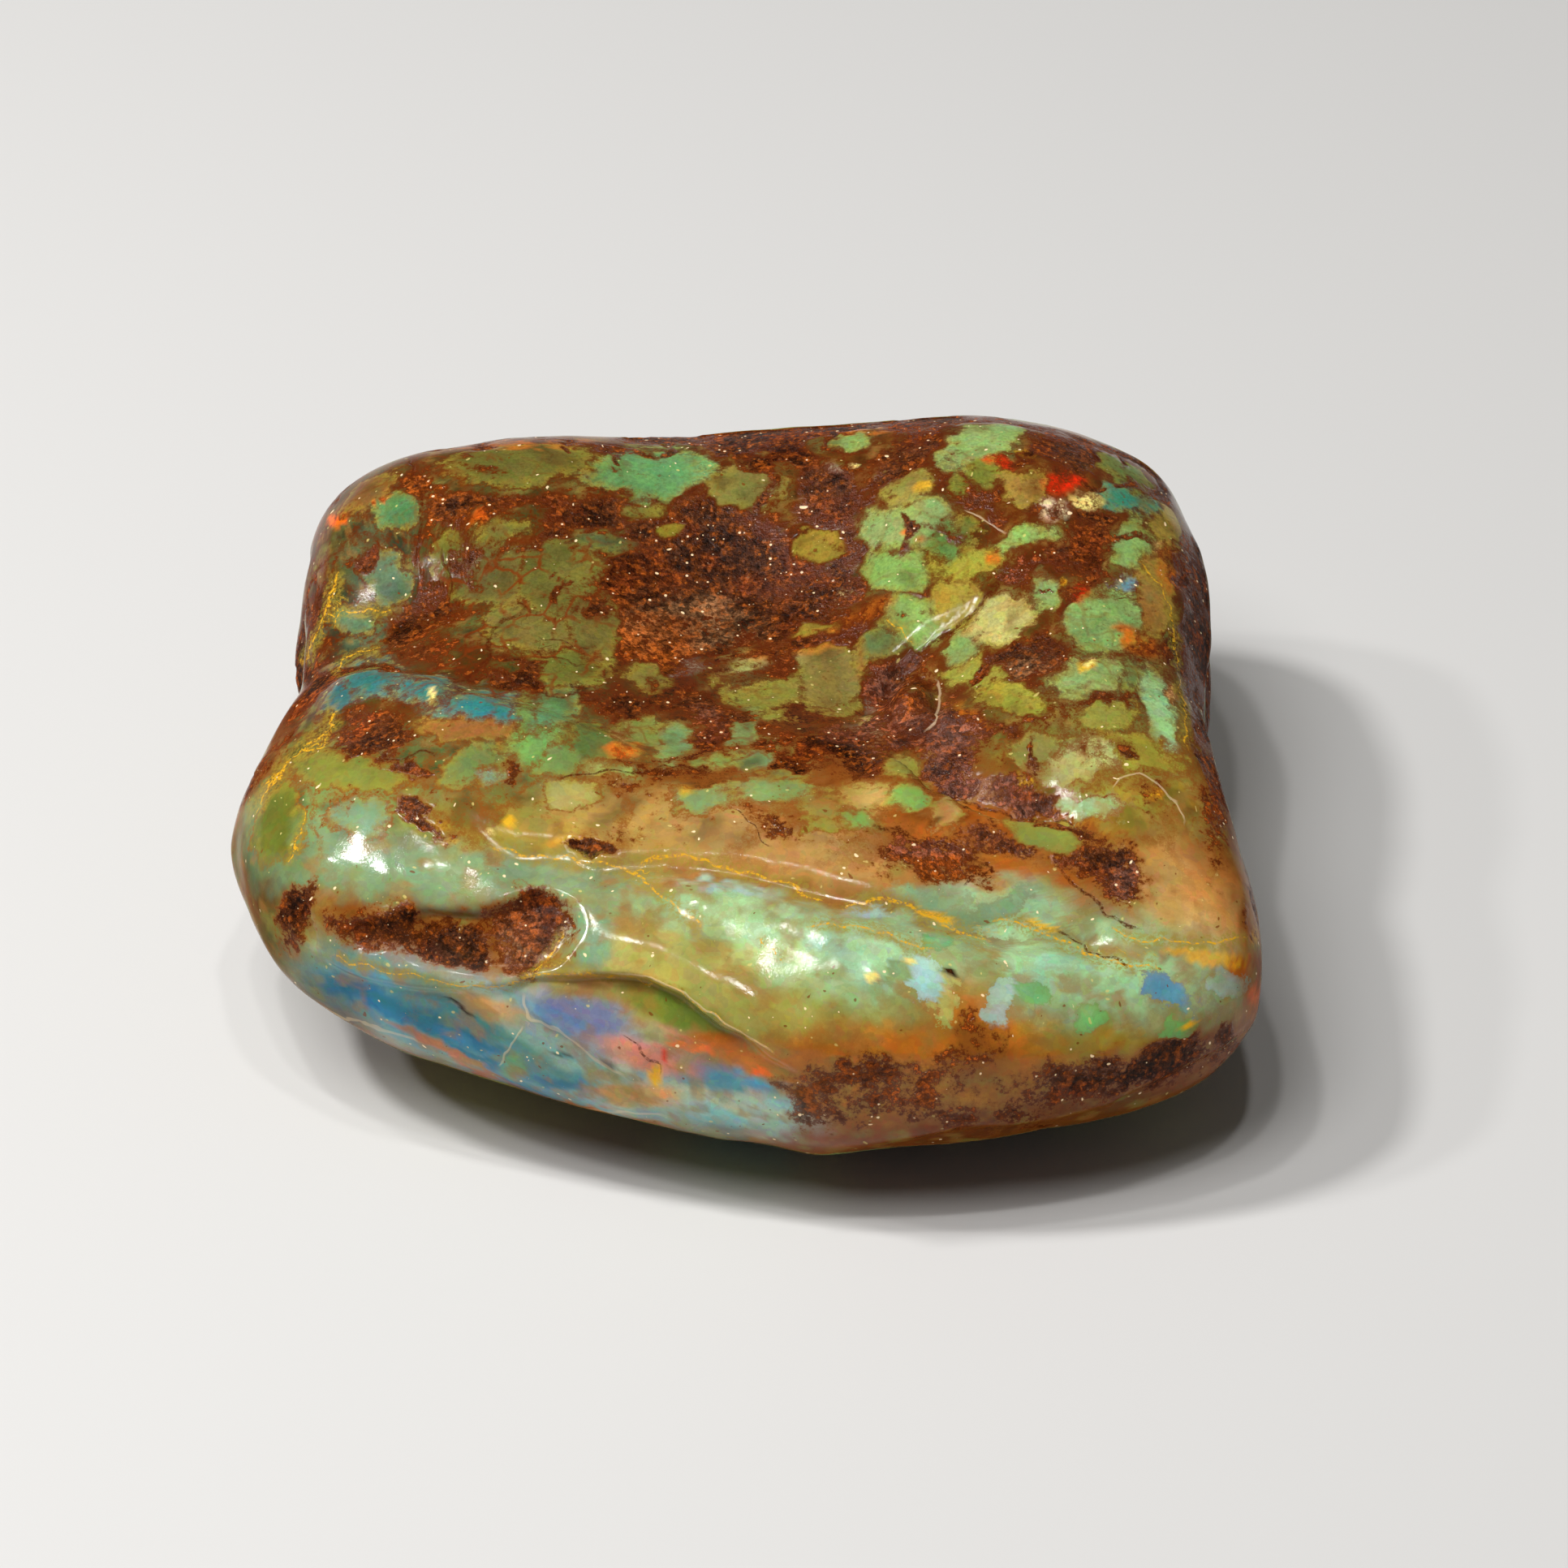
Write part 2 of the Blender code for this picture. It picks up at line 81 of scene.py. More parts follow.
# The form of the stone, in millimetres and degrees, before its box is centred over the origin.
stoneForm = {
    "topHeight": 14.5,
    "topTilt": 0.075,
    "flatCut": 0.28,
    "slant": 38.0,              # of the plane on which the forms of the front lie, and its height
    "slantHeight": 8.0,
    "gridSteps": 125,
    "lean": (0, -0.15, 0.2),    # crowds the grid towards the front and the top
    # reach from the middle, height of the widest line, squareness above and below it, by bearing
    "reach": {
        6: 18.7, 21: 20.6, 33: 23.0, 46: 24.0, 62: 22.4, 76: 20.4, 90: 19.8, 106: 20.0,
        123: 22.6, 139: 24.2, 153: 21.6, 164: 20.0, 178: 20.1, 191: 21.3, 207: 21.6, 218: 20.6,
        236: 18.5, 254: 17.7, 270: 18.3, 288: 19.1, 305: 21.0, 315: 22.5, 326: 23.6, 343: 20.9,
    },
    "belt": {0: 8.0, 45: 8.7, 90: 8.9, 135: 8.3, 180: 8.0, 215: 8.0, 250: 7.2, 290: 6.4, 325: 6.4},
    "upper": {0: 3.2, 45: 3.0, 90: 3.2, 135: 3.0, 180: 2.9, 225: 3.0, 270: 2.9, 310: 2.7},
    "lower": {0: 2.4, 60: 2.4, 90: 2.2, 140: 2.4, 180: 2.3, 225: 2.4, 270: 2.8, 315: 2.7},
    # swells and hollows of the top: centre x, y, radii, turn, height
    "swells": {
        "dish": (0, 4, 11, 9, 0, -2.4),
        "brown hollow": (-1, 8, 6.5, 5, 0, -0.8),
        "back right mound": (11, 14, 7, 6, 0, 1.3),
        "back left mound": (-13, 14, 7, 5, 0, 0.6),
        "back saddle": (-3, 17, 5, 2.4, 0, -0.45),
        "left shoulder": (-14, -6.5, 7, 5, 20, 1.1),
        "left valley": (-17, 5, 7, 2.6, 15, -1.6),
        "right swell": (14, 3, 5, 7, 0, 0.5),
        "right fall": (14, -11, 8, 6, 0, -1.5),
        "spine": (6.5, 9, 1.6, 4, -10, 0.5),
        "knob pit": (6.3, 0.6, 3.6, 3.0, 20, -1.1),
        "knob": (6.2, -0.1, 1.15, 1.2, 0, 1.1),
        "blister": (7.7, -2.1, 1.0, 0.8, 0, 0.55),
        "front hollow": (-5.5, -8, 3.5, 1.6, -12, -0.35),
        "front swell": (2, -9, 4, 2, -5, 0.3),
        "left swell": (-8, 5, 3, 2.5, 0, 0.3),
    },
    # lines over the top, as x, y
    "crack": [(10.1, 5.3), (8.2, 4.2), (7.2, 3.7), (6.0, 2.5), (4.9, 0.0), (3.6, -1.2)],
    "scarp": [(4.6, -4.0), (6.0, -5.4), (7.2, -6.5), (8.4, -7.3), (9.6, -7.7), (11.2, -7.8), (12.7, -8.0),
              (14.5, -9.0)],
    "seam": [(-13, -8.8), (-9.4, -10.6), (-6, -11.2), (-3.5, -11), (-1.4, -11.6), (1.4, -12.3), (4.8, -12.8),
             (9.5, -13.2), (12.2, -13.4), (16, -13.8)],
    "crest": [(-18.4, 1.2), (-15.6, 0.5), (-13.8, -0.7), (-12, -2.3), (-9.7, -3.1), (-7.4, -4), (-4.8, -5.2),
              (-1.5, -6.2)],
    "rim": [(16.2, 9.5), (17.3, 6), (17.5, 1), (17.8, -3.5), (18.8, -7.5), (20.3, -11)],
    # forms of the front on the slanted plane, as u, v: scoops with radii, turn and share, then lines
    "pocket": [(-17.9, -5.6, 0.55, 1.3, 25, 0.6), (-15.4, -5.9, 0.9, 0.8, 0, 0.55), (-13.2, -6.0, 1.3, 1.0, 20, 0.8),
               (-11.6, -6.2, 1.5, 1.2, 0, 0.9), (-9.0, -6.0, 1.9, 1.35, 22, 1.3)],
    "ledge": [(-17.6, -6.6), (-16.2, -7.3), (-13.6, -7.9), (-11.7, -8.1), (-9.8, -7.9), (-8.8, -7.6), (-6.4, -7.4),
              (-4.1, -7.5), (-2.7, -8.1), (-1.1, -9.4), (-0.1, -9.9), (0.7, -10.6), (1.9, -11.2), (2.6, -12.6),
              (3.2, -14.5)],
    "fold": [(-9.2, -8.0), (-8.7, -9.1), (-7.8, -9.7), (-6.4, -10.7), (-5.2, -11.5), (-4.6, -12.4)],
    "lip": [(1.5, -14.4), (3.6, -14.1), (7.6, -13.3), (11.5, -12.9), (13.8, -12.3), (16.1, -11.3), (18.4, -10.2),
            (20.2, -8.7)],
    # what lies along these lines, in millimetres: height or depth, how far to the line's left, then width, or
    # the widths to the left and right where they differ
    "crackCut": (0.4, 0, 0.5), "scarpDrop": (1.0, 0, 2.4), "scarpRoll": (0.3, -0.8, 0.9),
    "seamCut": (0.55, 0, 0.75), "seamRoll": (0.25, -1.3, 1.0), "rimRise": (0.35, 0, 1.2),
    "crestRise": (0.45, 0, 0.9, 2.4), "crestTrough": (0.3, 1.8, 1.2), "ledgeRoll": (0.3, 1.1, 1.1),
    "lipRise": (0.3, 0, 1.4, 0.35), "lipTrough": (0.35, -0.75, 0.5),
    "foldRise": (0.22, 1.6),         # height and width
    "pocketCut": (0.55, 0.15),       # depth at its edge, then how much more in its middle
    "ledgeCut": (0.35, 0.4, 4.2),    # depth at the left, how much more to the right, and width
    # swellings and scoops of the sides, back and underside: centre x, y, z, radii x, y, z, push outwards
    "lumps": {
        "back scoop": (0, 20, 7.5, 7, 4, 2.6, -0.8),
        "back swelling": (9, 20, 5, 5, 4, 2.6, 0.8),
        "back shelf": (-9, 19, 3.6, 5, 4, 2.0, 0.7),
        "back left dent": (-14, 18, 9.5, 3, 4, 2.2, -0.5),
        "back right boss": (15, 17, 10, 3, 3, 2.5, 0.5),
        "right bulge": (21, 4, 5.5, 4, 5, 2.2, 0.7),
        "right trough": (20, -3, 8.5, 4, 6, 1.3, -0.6),
        "right back dent": (21, 12, 9, 4, 3, 2.5, -0.5),
        "right front dent": (22, -13, 4.5, 4, 3, 1.6, -0.5),
        "left waist": (-21, 5, 6, 4, 2.2, 4.5, -0.7),
        "left back bulge": (-21, 11, 5, 4, 4, 2.2, 0.6),
        "left front bulge": (-21, -4, 6.5, 4, 4, 2.4, 0.5),
        "left front dent": (-20, -8, 3.2, 4, 3, 1.5, -0.4),
        "left under hollow": (-12, -2, 0.6, 4, 5, 2.5, -0.5),
        "right under hollow": (12, 7, 0.6, 5, 4, 2.5, -0.6),
        "front under swelling": (10, -11, 1.0, 5, 3, 2.0, 0.5),
    },
    # creases in the sides: points x, y, z, then width and depth
    "creases": {
        "right fold": ([(20, -12, 7), (19.6, -4, 8.8), (18.6, 4, 7.6), (20.5, 12, 9.5), (17, 17.5, 8.2)], 0.9, 0.5),
        "back fold": ([(-13, 19, 12.5), (-6, 20.5, 8), (2, 20, 6.8), (9, 20, 8.8), (15, 18, 7.4)], 0.8, 0.45),
        "left fold": ([(-19.5, 9, 11.5), (-20.3, 7.5, 8), (-20, 3, 5), (-21, -3, 4), (-20, -9, 5.5)], 0.8, 0.5),
        "left back fold": ([(-19, 14, 10), (-19.8, 11, 7), (-19.5, 8, 3.5)], 0.6, 0.3),
        "back crease": ([(3, 20, 12), (5, 20.5, 8), (4, 19, 3.5)], 0.7, 0.35),
    },
    "creaseFloor": 0.9,    # half the width of their flat floor
    "uneven": [(5.2, 0.22, 1), (2.4, 0.12, 2)],    # gentle unevenness: wavelength, height, seed
}


# Rises from 0 at start to 1 at end along 3t^2 - 2t^3.
def smooth(start, end, value):
    t = np.clip((value - start) / (end - start), 0, 1)
    return t * t * (3 - 2 * t)


# A closed cubic curve through the table's values, read at each bearing in degrees.
def around(bearing, table):
    knots = np.array(sorted(table), float)
    values = np.array([table[k] for k in sorted(table)], float)
    knots = np.concatenate([knots[-2:] - 360, knots, knots[:2] + 360])
    values = np.concatenate([values[-2:], values, values[:2]])
    slopes = np.gradient(values, knots)
    angle = np.mod(bearing, 360.0)
    angle = np.where(angle < knots[1], angle + 360, angle)
    i = np.clip(np.searchsorted(knots, angle, side="right") - 1, 0, len(knots) - 2)
    span = knots[i + 1] - knots[i]
    t = (angle - knots[i]) / span
    ends = (2 * t**3 - 3 * t**2 + 1) * values[i] + (3 * t**2 - 2 * t**3) * values[i + 1]
    return ends + ((t**3 - 2 * t**2 + t) * slopes[i] + (t**3 - t**2) * slopes[i + 1]) * span


# Distance from the centre of an ellipse, as a share of its radius in that direction; the long axis is turned.
def ovalDistance(x, y, cx, cy, rx, ry, turn):
    t = math.radians(turn)
    along = (x - cx) * math.cos(t) + (y - cy) * math.sin(t)
    across = (y - cy) * math.cos(t) - (x - cx) * math.sin(t)
    return np.hypot(along / rx, across / ry)


# A rounded mound of height 1: e to the minus squared share of the radius.
def bell(x, y, cx, cy, rx, ry, turn):
    return np.exp(-ovalDistance(x, y, cx, cy, rx, ry, turn) ** 2)


# Distance to a line of points, the same with a sign for its side (left is above 0), and the share of its length.
def nearest(places, points):
    points = np.array(points, float)
    steps = np.diff(points, axis=0)
    lengths = np.linalg.norm(steps, axis=1)
    distance = np.full(len(places), np.inf)
    side = np.ones(len(places))
    share = np.zeros(len(places))
    done = 0.0
    for start, step, length in zip(points[:-1], steps, lengths):
        t = np.clip((places - start) @ step / length**2, 0, 1)
        off = places - start - t[:, None] * step
        away = np.linalg.norm(off, axis=1)
        closer = away < distance
        distance = np.where(closer, away, distance)
        side = np.where(closer, np.sign(step[0] * off[:, 1] - step[1] * off[:, 0]), side)
        share = np.where(closer, (done + t * length) / lengths.sum(), share)
        done += length
    return distance, distance * side, share


# 1 along a line, rising over its first share and falling over its last.
def fadeEnds(share, first, last):
    return smooth(0, first, share) * smooth(1, last, share)


# A ridge along a line: height times e to the minus squared share of its width.
def ridge(side, size, fade=1.0):
    height, offset, *widths = size
    away = side - offset
    return height * fade * np.exp(-((away / np.where(away > 0, widths[0], widths[-1])) ** 2))


# A fixed value from -1 to 1 for each whole-numbered place.
def lattice(i, j, k):
    n = (i * 73856093) ^ (j * 19349663) ^ (k * 83492791)
    n = (n ^ (n >> 13)) * 1274126177 & 0x7FFFFFFF
    return ((n ^ (n >> 16)) & 0xFFFF) / 32767.5 - 1


# Unevenness from -1 to 1: lattice values blended with 6t^5 - 15t^4 + 10t^3 between whole places, size apart.
def noise(x, y, z, size, seed):
    place = [c / size + 100.5 + seed * 17.3 for c in (x, y, z)]
    whole = [np.floor(c).astype(np.int64) for c in place]
    part = [c - w for c, w in zip(place, whole)]
    part = [c**3 * (c * (c * 6 - 15) + 10) for c in part]
    total = 0
    for a in (0, 1):
        for b in (0, 1):
            for c in (0, 1):
                weight = 1
                for corner, share in zip((a, b, c), part):
                    weight = weight * (share if corner else 1 - share)
                total = total + weight * lattice(whole[0] + a, whole[1] + b, whole[2] + c)
    return total


# Noise at halving sizes, each half as strong as the last.
def layered(places, size, seed, layers=3):
    total = 0
    for k in range(layers):
        total = total + noise(*places.T, size / 2**k, seed + 7 * k) / 2**k
    return total / 1.5


# Height of the top: a tilted plane with swells, a crack, a scarp, a seam, a crest and a rim along their lines.
def roof(x, y, form):
    z = form["topHeight"] + form["topTilt"] * y
    for cx, cy, rx, ry, turn, height in form["swells"].values():
        z = z + height * bell(x, y, cx, cy, rx, ry, turn)
    wobble = 0.35 * noise(x, y, 0 * x, 2.2, 3)

    distance, side, share = nearest(np.stack([x, y], 1), form["crack"])
    z = z - ridge(distance, form["crackCut"]) * smooth(0, 0.15, share) * smooth(1, 0.85, share)

    distance, side, share = nearest(np.stack([x + wobble, y + wobble], 1), form["scarp"])
    fade = fadeEnds(share, 0.2, 0.7)
    z = z - ridge(np.maximum(side, 0), form["scarpDrop"], fade * smooth(-0.25, 0.3, side))
    z = z + ridge(side, form["scarpRoll"], fade)

    distance, side, share = nearest(np.stack([x, y + wobble], 1), form["seam"])
    fade = fadeEnds(share, 0.2, 0.9)
    z = z - ridge(distance, form["seamCut"], fade)
    z = z + ridge(side, form["seamRoll"], fade) * smooth(-4, -2, x)

    distance, side, share = nearest(np.stack([x, y + 0.5 * wobble], 1), form["crest"])
    fade = fadeEnds(share, 0.1, 0.6)
    z = z + ridge(side, form["crestRise"], fade) - ridge(side, form["crestTrough"], fade)

    distance, side, share = nearest(np.stack([x, y], 1), form["rim"])
    return z + ridge(distance, form["rimRise"]) * smooth(0, 0.2, share) * smooth(1, 0.8, share)


# Push outwards on the front, on the slanted plane u = x, v = y sin + z cos: pocket, chipped face, fold and lip.
def front(x, y, z, form):
    slant = math.radians(form["slant"])
    u = x
    v = y * math.sin(slant) + (z - form["slantHeight"]) * math.cos(slant)
    wobble = 0.3 * noise(x, y, z, 1.7, 5)
    scoop = 0
    for cx, cy, rx, ry, turn, share in form["pocket"]:
        scoop = scoop + share * bell(u + wobble, v + 0.7 * wobble, cx, cy, rx, ry, turn)
    edgeDepth, middleDepth = form["pocketCut"]
    push = -edgeDepth * smooth(0.22, 0.62, scoop) - middleDepth * smooth(0.5, 1.1, scoop)

    distance, side, share = nearest(np.stack([u, v + 0.4 * wobble], 1), form["ledge"])
    leftDepth, rightMore, width = form["ledgeCut"]
    depth = leftDepth + rightMore * smooth(-9, -5, u)
    fade = smooth(-18.5, -16, u) * smooth(3, -1, u)
    push = push - depth * fade * smooth(0.12, -0.4, side) * np.exp(-((np.maximum(-side, 0) / width) ** 2))
    push = push + ridge(side, form["ledgeRoll"]) * smooth(-8, -4, u) * smooth(3, 0, u)

    distance, side, share = nearest(np.stack([u, v], 1), form["fold"])
    fade = fadeEnds(share, 0.15, 0.8)
    height, width = form["foldRise"]
    push = push + height * fade * smooth(-0.15, 0.15, side) * np.exp(-((np.maximum(side, 0) / width) ** 2))

    distance, side, share = nearest(np.stack([u, v + 0.3 * wobble], 1), form["lip"])
    fade = fadeEnds(share, 0.35, 0.85)
    return push + ridge(side, form["lipRise"], fade) - ridge(side, form["lipTrough"], fade)


# Push outwards on the sides, back and underside: bells in space, less the creases along their lines.
def flanks(x, y, z, form):
    push = np.zeros_like(x)
    for cx, cy, cz, rx, ry, rz, height in form["lumps"].values():
        push = push + height * np.exp(-((x - cx) / rx) ** 2 - ((y - cy) / ry) ** 2 - ((z - cz) / rz) ** 2)
    wobble = 0.5 * noise(x, y, z, 2.5, 8)
    for points, width, depth in form["creases"].values():
        distance, side, share = nearest(np.stack([x + wobble, y + wobble, z - wobble], 1), points)
        beyond = np.maximum(distance - form["creaseFloor"], 0)
        push = push - ridge(beyond, (depth, 0, width), fadeEnds(share, 0.15, 0.85))
    return push


# Where the skin lies for directions from the middle: out by reach * cos^(2/n) and up from the belt to the
# roof, or down to the flat spot, by sin^(2/n), then pushed along the direction by front, flanks and noise.
def stonePoints(direction, form):
    bearing = np.degrees(np.arctan2(direction[:, 1], direction[:, 0]))
    lift = np.abs(direction[:, 2])
    above = direction[:, 2] >= 0
    square = np.where(above, around(bearing, form["upper"]), around(bearing, form["lower"]))
    belt = around(bearing, form["belt"])
    out = around(bearing, form["reach"]) * np.clip(1 - lift**2, 0, 1) ** (1 / square)
    x = out * np.cos(np.radians(bearing))
    y = out * np.sin(np.radians(bearing))
    climb = lift ** (2 / square)
    z = np.where(above, belt + (roof(x, y, form) - belt) * climb, belt - (belt + form["flatCut"]) * climb)

    slant = math.radians(form["slant"])
    facing = direction[:, 2] * math.sin(slant) - direction[:, 1] * math.cos(slant)
    push = front(x, y, z, form) * smooth(0.05, 0.35, facing) * smooth(-5.5, -9, y)
    hidden = 1 - smooth(-0.1, 0.25, facing) * smooth(-2, -8, y)
    push = push + flanks(x, y, z, form) * hidden * np.where(above, smooth(0.97, 0.75, climb), 1)
    share = 0.25 + 0.75 * (1 - smooth(0.5, 0.9, np.where(above, climb, 0))) * hidden
    for size, height, seed in form["uneven"]:
        push = push + share * height * noise(x, y, z, size, seed)
    push = push * np.where(above, 1, 1 - 0.95 * smooth(0.86, 0.96, climb))
    return np.stack([x, y, z], 1) + push[:, None] * direction


# Directions over a cube's six gridded faces, tan-spaced so that squares come out even, with shared edges merged.
def cubeGrid(steps, lean):
    line = np.tan(np.linspace(-1, 1, steps + 1) * math.pi / 4)
    s, t = np.meshgrid(line, line, indexing="ij")
    sides = []
    for axis in range(3):
        for sign in (1, -1):
            side = np.zeros((steps + 1, steps + 1, 3))
            side[..., axis] = sign
            side[..., (axis + 1) % 3] = s * sign
            side[..., (axis + 2) % 3] = t
            sides.append(side.reshape(-1, 3))
    points = np.concatenate(sides)
    i, j = np.meshgrid(np.arange(steps), np.arange(steps), indexing="ij")
    corner = (i * (steps + 1) + j).ravel()
    quad = np.stack([corner, corner + steps + 1, corner + steps + 2, corner + 1], 1)
    quads = np.concatenate([quad + k * (steps + 1) ** 2 for k in range(6)])
    first, same = np.unique(np.round(points * 1e6), axis=0, return_index=True, return_inverse=True)[1:]
    points = points[first]
    points = points / np.linalg.norm(points, axis=1)[:, None] + np.array(lean)
    return points / np.linalg.norm(points, axis=1)[:, None], same.reshape(-1)[quads]


# Each vertex's normal: the sum of its quads' crossed diagonals, made length 1.
def vertexNormals(points, quads):
    across = np.cross(points[quads[:, 2]] - points[quads[:, 0]], points[quads[:, 3]] - points[quads[:, 1]])
    normals = np.zeros_like(points)
    for k in range(4):
        for axis in range(3):
            normals[:, axis] += np.bincount(quads[:, k], across[:, axis], len(points))
    return normals / np.linalg.norm(normals, axis=1)[:, None]


# Where each point falls in the picture, in pixels, and how squarely its skin faces the camera.
def intoPicture(points, normals):
    away = points - np.array(shot["target"])
    up = away[:, 1] * slopeSin + away[:, 2] * slopeCos
    depth = shot["distance"] + away[:, 1] * slopeCos - away[:, 2] * slopeSin
    scale = pixelsPerMm * shot["distance"] / depth
    middle = shot["image"] / 2
    sight = eye - points
    facing = (normals * sight).sum(1) / np.linalg.norm(sight, axis=1)
    return np.stack([middle + scale * away[:, 0], middle - scale * up], 1), facing


print("shape functions ready")

# Colours of the stone, as screen values from 0 to 255.
stoneColours = {
    "white": (255, 255, 255), "umber": (84, 46, 20), "chestnut": (64, 32, 13), "darkUmber": (36, 16, 7),
    "mauveBrown": (94, 60, 48), "rust": (116, 46, 10), "russet": (142, 68, 16), "amberBrown": (132, 76, 24),
    "amberOrange": (204, 108, 26), "taupe": (130, 94, 60), "tan": (160, 114, 52), "honey": (184, 122, 40),
    "peach": (206, 158, 88), "cream": (244, 214, 168), "gold": (240, 178, 34), "paleGold": (255, 230, 135),
    "mustard": (166, 146, 52), "olive": (114, 104, 38), "sage": (144, 138, 64), "paleSage": (176, 178, 104),
    "moss": (110, 122, 46), "jade": (134, 166, 94), "deepJade": (104, 126, 68), "emerald": (112, 172, 104),
    "aqua": (158, 204, 150), "greyTeal": (128, 158, 114), "teal": (58, 136, 120), "lagoon": (64, 140, 132),
    "deepAzure": (24, 118, 150), "azure": (88, 150, 164), "sky": (160, 194, 180), "lilac": (120, 128, 158),
    "rose": (208, 142, 122), "redFire": (224, 40, 6), "orangeFire": (244, 102, 16), "paleGrey": (178, 164, 138),
}

# Where colours lie, as ovals seen from the camera: x, y and radii in pixels, then turn and strength if given.
# First the ground, which runs softly from one to the next.
broadTones = [
    ("umber", [(880, 720, 280, 150), (1000, 900, 260, 60)]),
    ("tan", [(600, 580, 190, 50, -4, 0.8), (900, 545, 220, 30, 0, 0.5)]),
    ("sage", [(600, 740, 170, 150, 0, 0.9), (430, 720, 60, 140, 8, 0.7), (700, 920, 110, 50, 0, 0.8)]),
    ("greyTeal", [(462, 720, 46, 110, 8, 0.7), (420, 800, 50, 60, 0, 0.5)]),
    ("amberBrown", [(1240, 690, 230, 170), (1010, 545, 150, 30, 0, 0.8), (775, 790, 50, 60, 0, 0.7),
        (1250, 880, 160, 80, 0, 0.8), (1060, 770, 110, 40, -22, 0.6)]),
    ("sage", [(1130, 690, 90, 80, 0, 0.7), (1390, 770, 80, 90, 0, 1), (1250, 900, 80, 40, 0, 0.5)]),
    ("mustard", [(1230, 760, 60, 40, 0, 0.5), (1340, 930, 110, 60, 0, 0.8), (1460, 680, 30, 80, -10, 0.5)]),
    ("jade", [(1390, 890, 80, 60, 0, 0.9), (1380, 770, 50, 50, 0, 0.8), (665, 905, 60, 40, 0, 0.8)]),
    ("olive", [(560, 880, 170, 60, 0, 0.7), (480, 960, 190, 60, 0, 0.6)]),
    ("sage", [(460, 960, 150, 60, 0, 0.8), (640, 1000, 200, 50, 0, 0.7)]),
    ("jade", [(440, 985, 130, 50, 0, 0.6), (640, 930, 120, 40, 0, 0.7), (350, 1010, 50, 70, 10, 0.8),
        (480, 905, 120, 20, 0, 0.3)]),
    ("mustard", [(560, 1015, 90, 30, 10, 0.6), (720, 1030, 110, 30, 8, 0.6), (1400, 970, 100, 70, 20, 0.9)]),
    ("greyTeal", [(540, 1078, 250, 34, 4, 0.9), (390, 1050, 90, 50, 0, 0.6), (850, 1105, 130, 26, 8, 0.8)]),
    ("peach", [(950, 1040, 230, 50, 4, 0.7), (1480, 1105, 90, 70, 20, 0.9), (740, 985, 80, 30, 0, 0.5)]),
    ("amberOrange", [(1230, 1030, 120, 50, 8, 0.8), (1080, 985, 110, 40, 5, 0.45), (1500, 1060, 40, 60, -20, 0.4)]),
    ("paleSage", [(900, 1200, 170, 80, 10, 0.9)]),
    ("mustard", [(900, 1215, 150, 80, 10, 0.5), (1290, 1290, 150, 30, -8, 0.8), (1060, 1260, 120, 40, 5, 0.5)]),
    ("aqua", [(1080, 1190, 140, 50, 10, 0.8), (1320, 1190, 210, 62, 6, 0.9), (900, 1130, 120, 24, 8, 0.7),
        (1230, 1115, 90, 34, 0, 0.7)]),
    ("sage", [(1130, 1245, 110, 34, 0, 0.7), (1180, 1180, 60, 26, 0, 0.5), (370, 1170, 60, 50, 40, 0.8)]),
    ("amberOrange", [(1110, 1325, 190, 54, -4), (1545, 1200, 26, 60)]),
    ("russet", [(1060, 1385, 170, 30, -2), (1300, 1345, 170, 26, -12), (1470, 1300, 80, 20, -25, 0.8)]),
    ("mauveBrown", [(1250, 1362, 160, 16, -8, 0.8), (1420, 1316, 90, 14, -20, 0.6)]),
    ("amberOrange", [(1192, 1275, 50, 60, 0, 0.8)]),
    ("honey", [(1090, 1340, 190, 40, -4, 0.75), (1290, 1335, 150, 22, -10, 0.6), (1192, 1275, 44, 56, 0, 0.6)]),
    ("amberBrown", [(1180, 1142, 130, 8, 14, 0.6), (1370, 1166, 110, 8, 10, 0.6), (900, 1085, 80, 7, 10, 0.6),
        (1200, 1300, 34, 40, 0, 0.7)]),
    ("russet", [(1150, 1035, 90, 44, 10, 0.5), (1320, 1060, 90, 44, 30, 0.45), (1230, 985, 90, 24, 20, 0.5)]),
    ("amberBrown", [(1500, 800, 40, 280, -4), (1560, 1080, 26, 120), (340, 880, 36, 110, 32, 0.8),
        (380, 720, 22, 90, 10, 0.7)]),
]
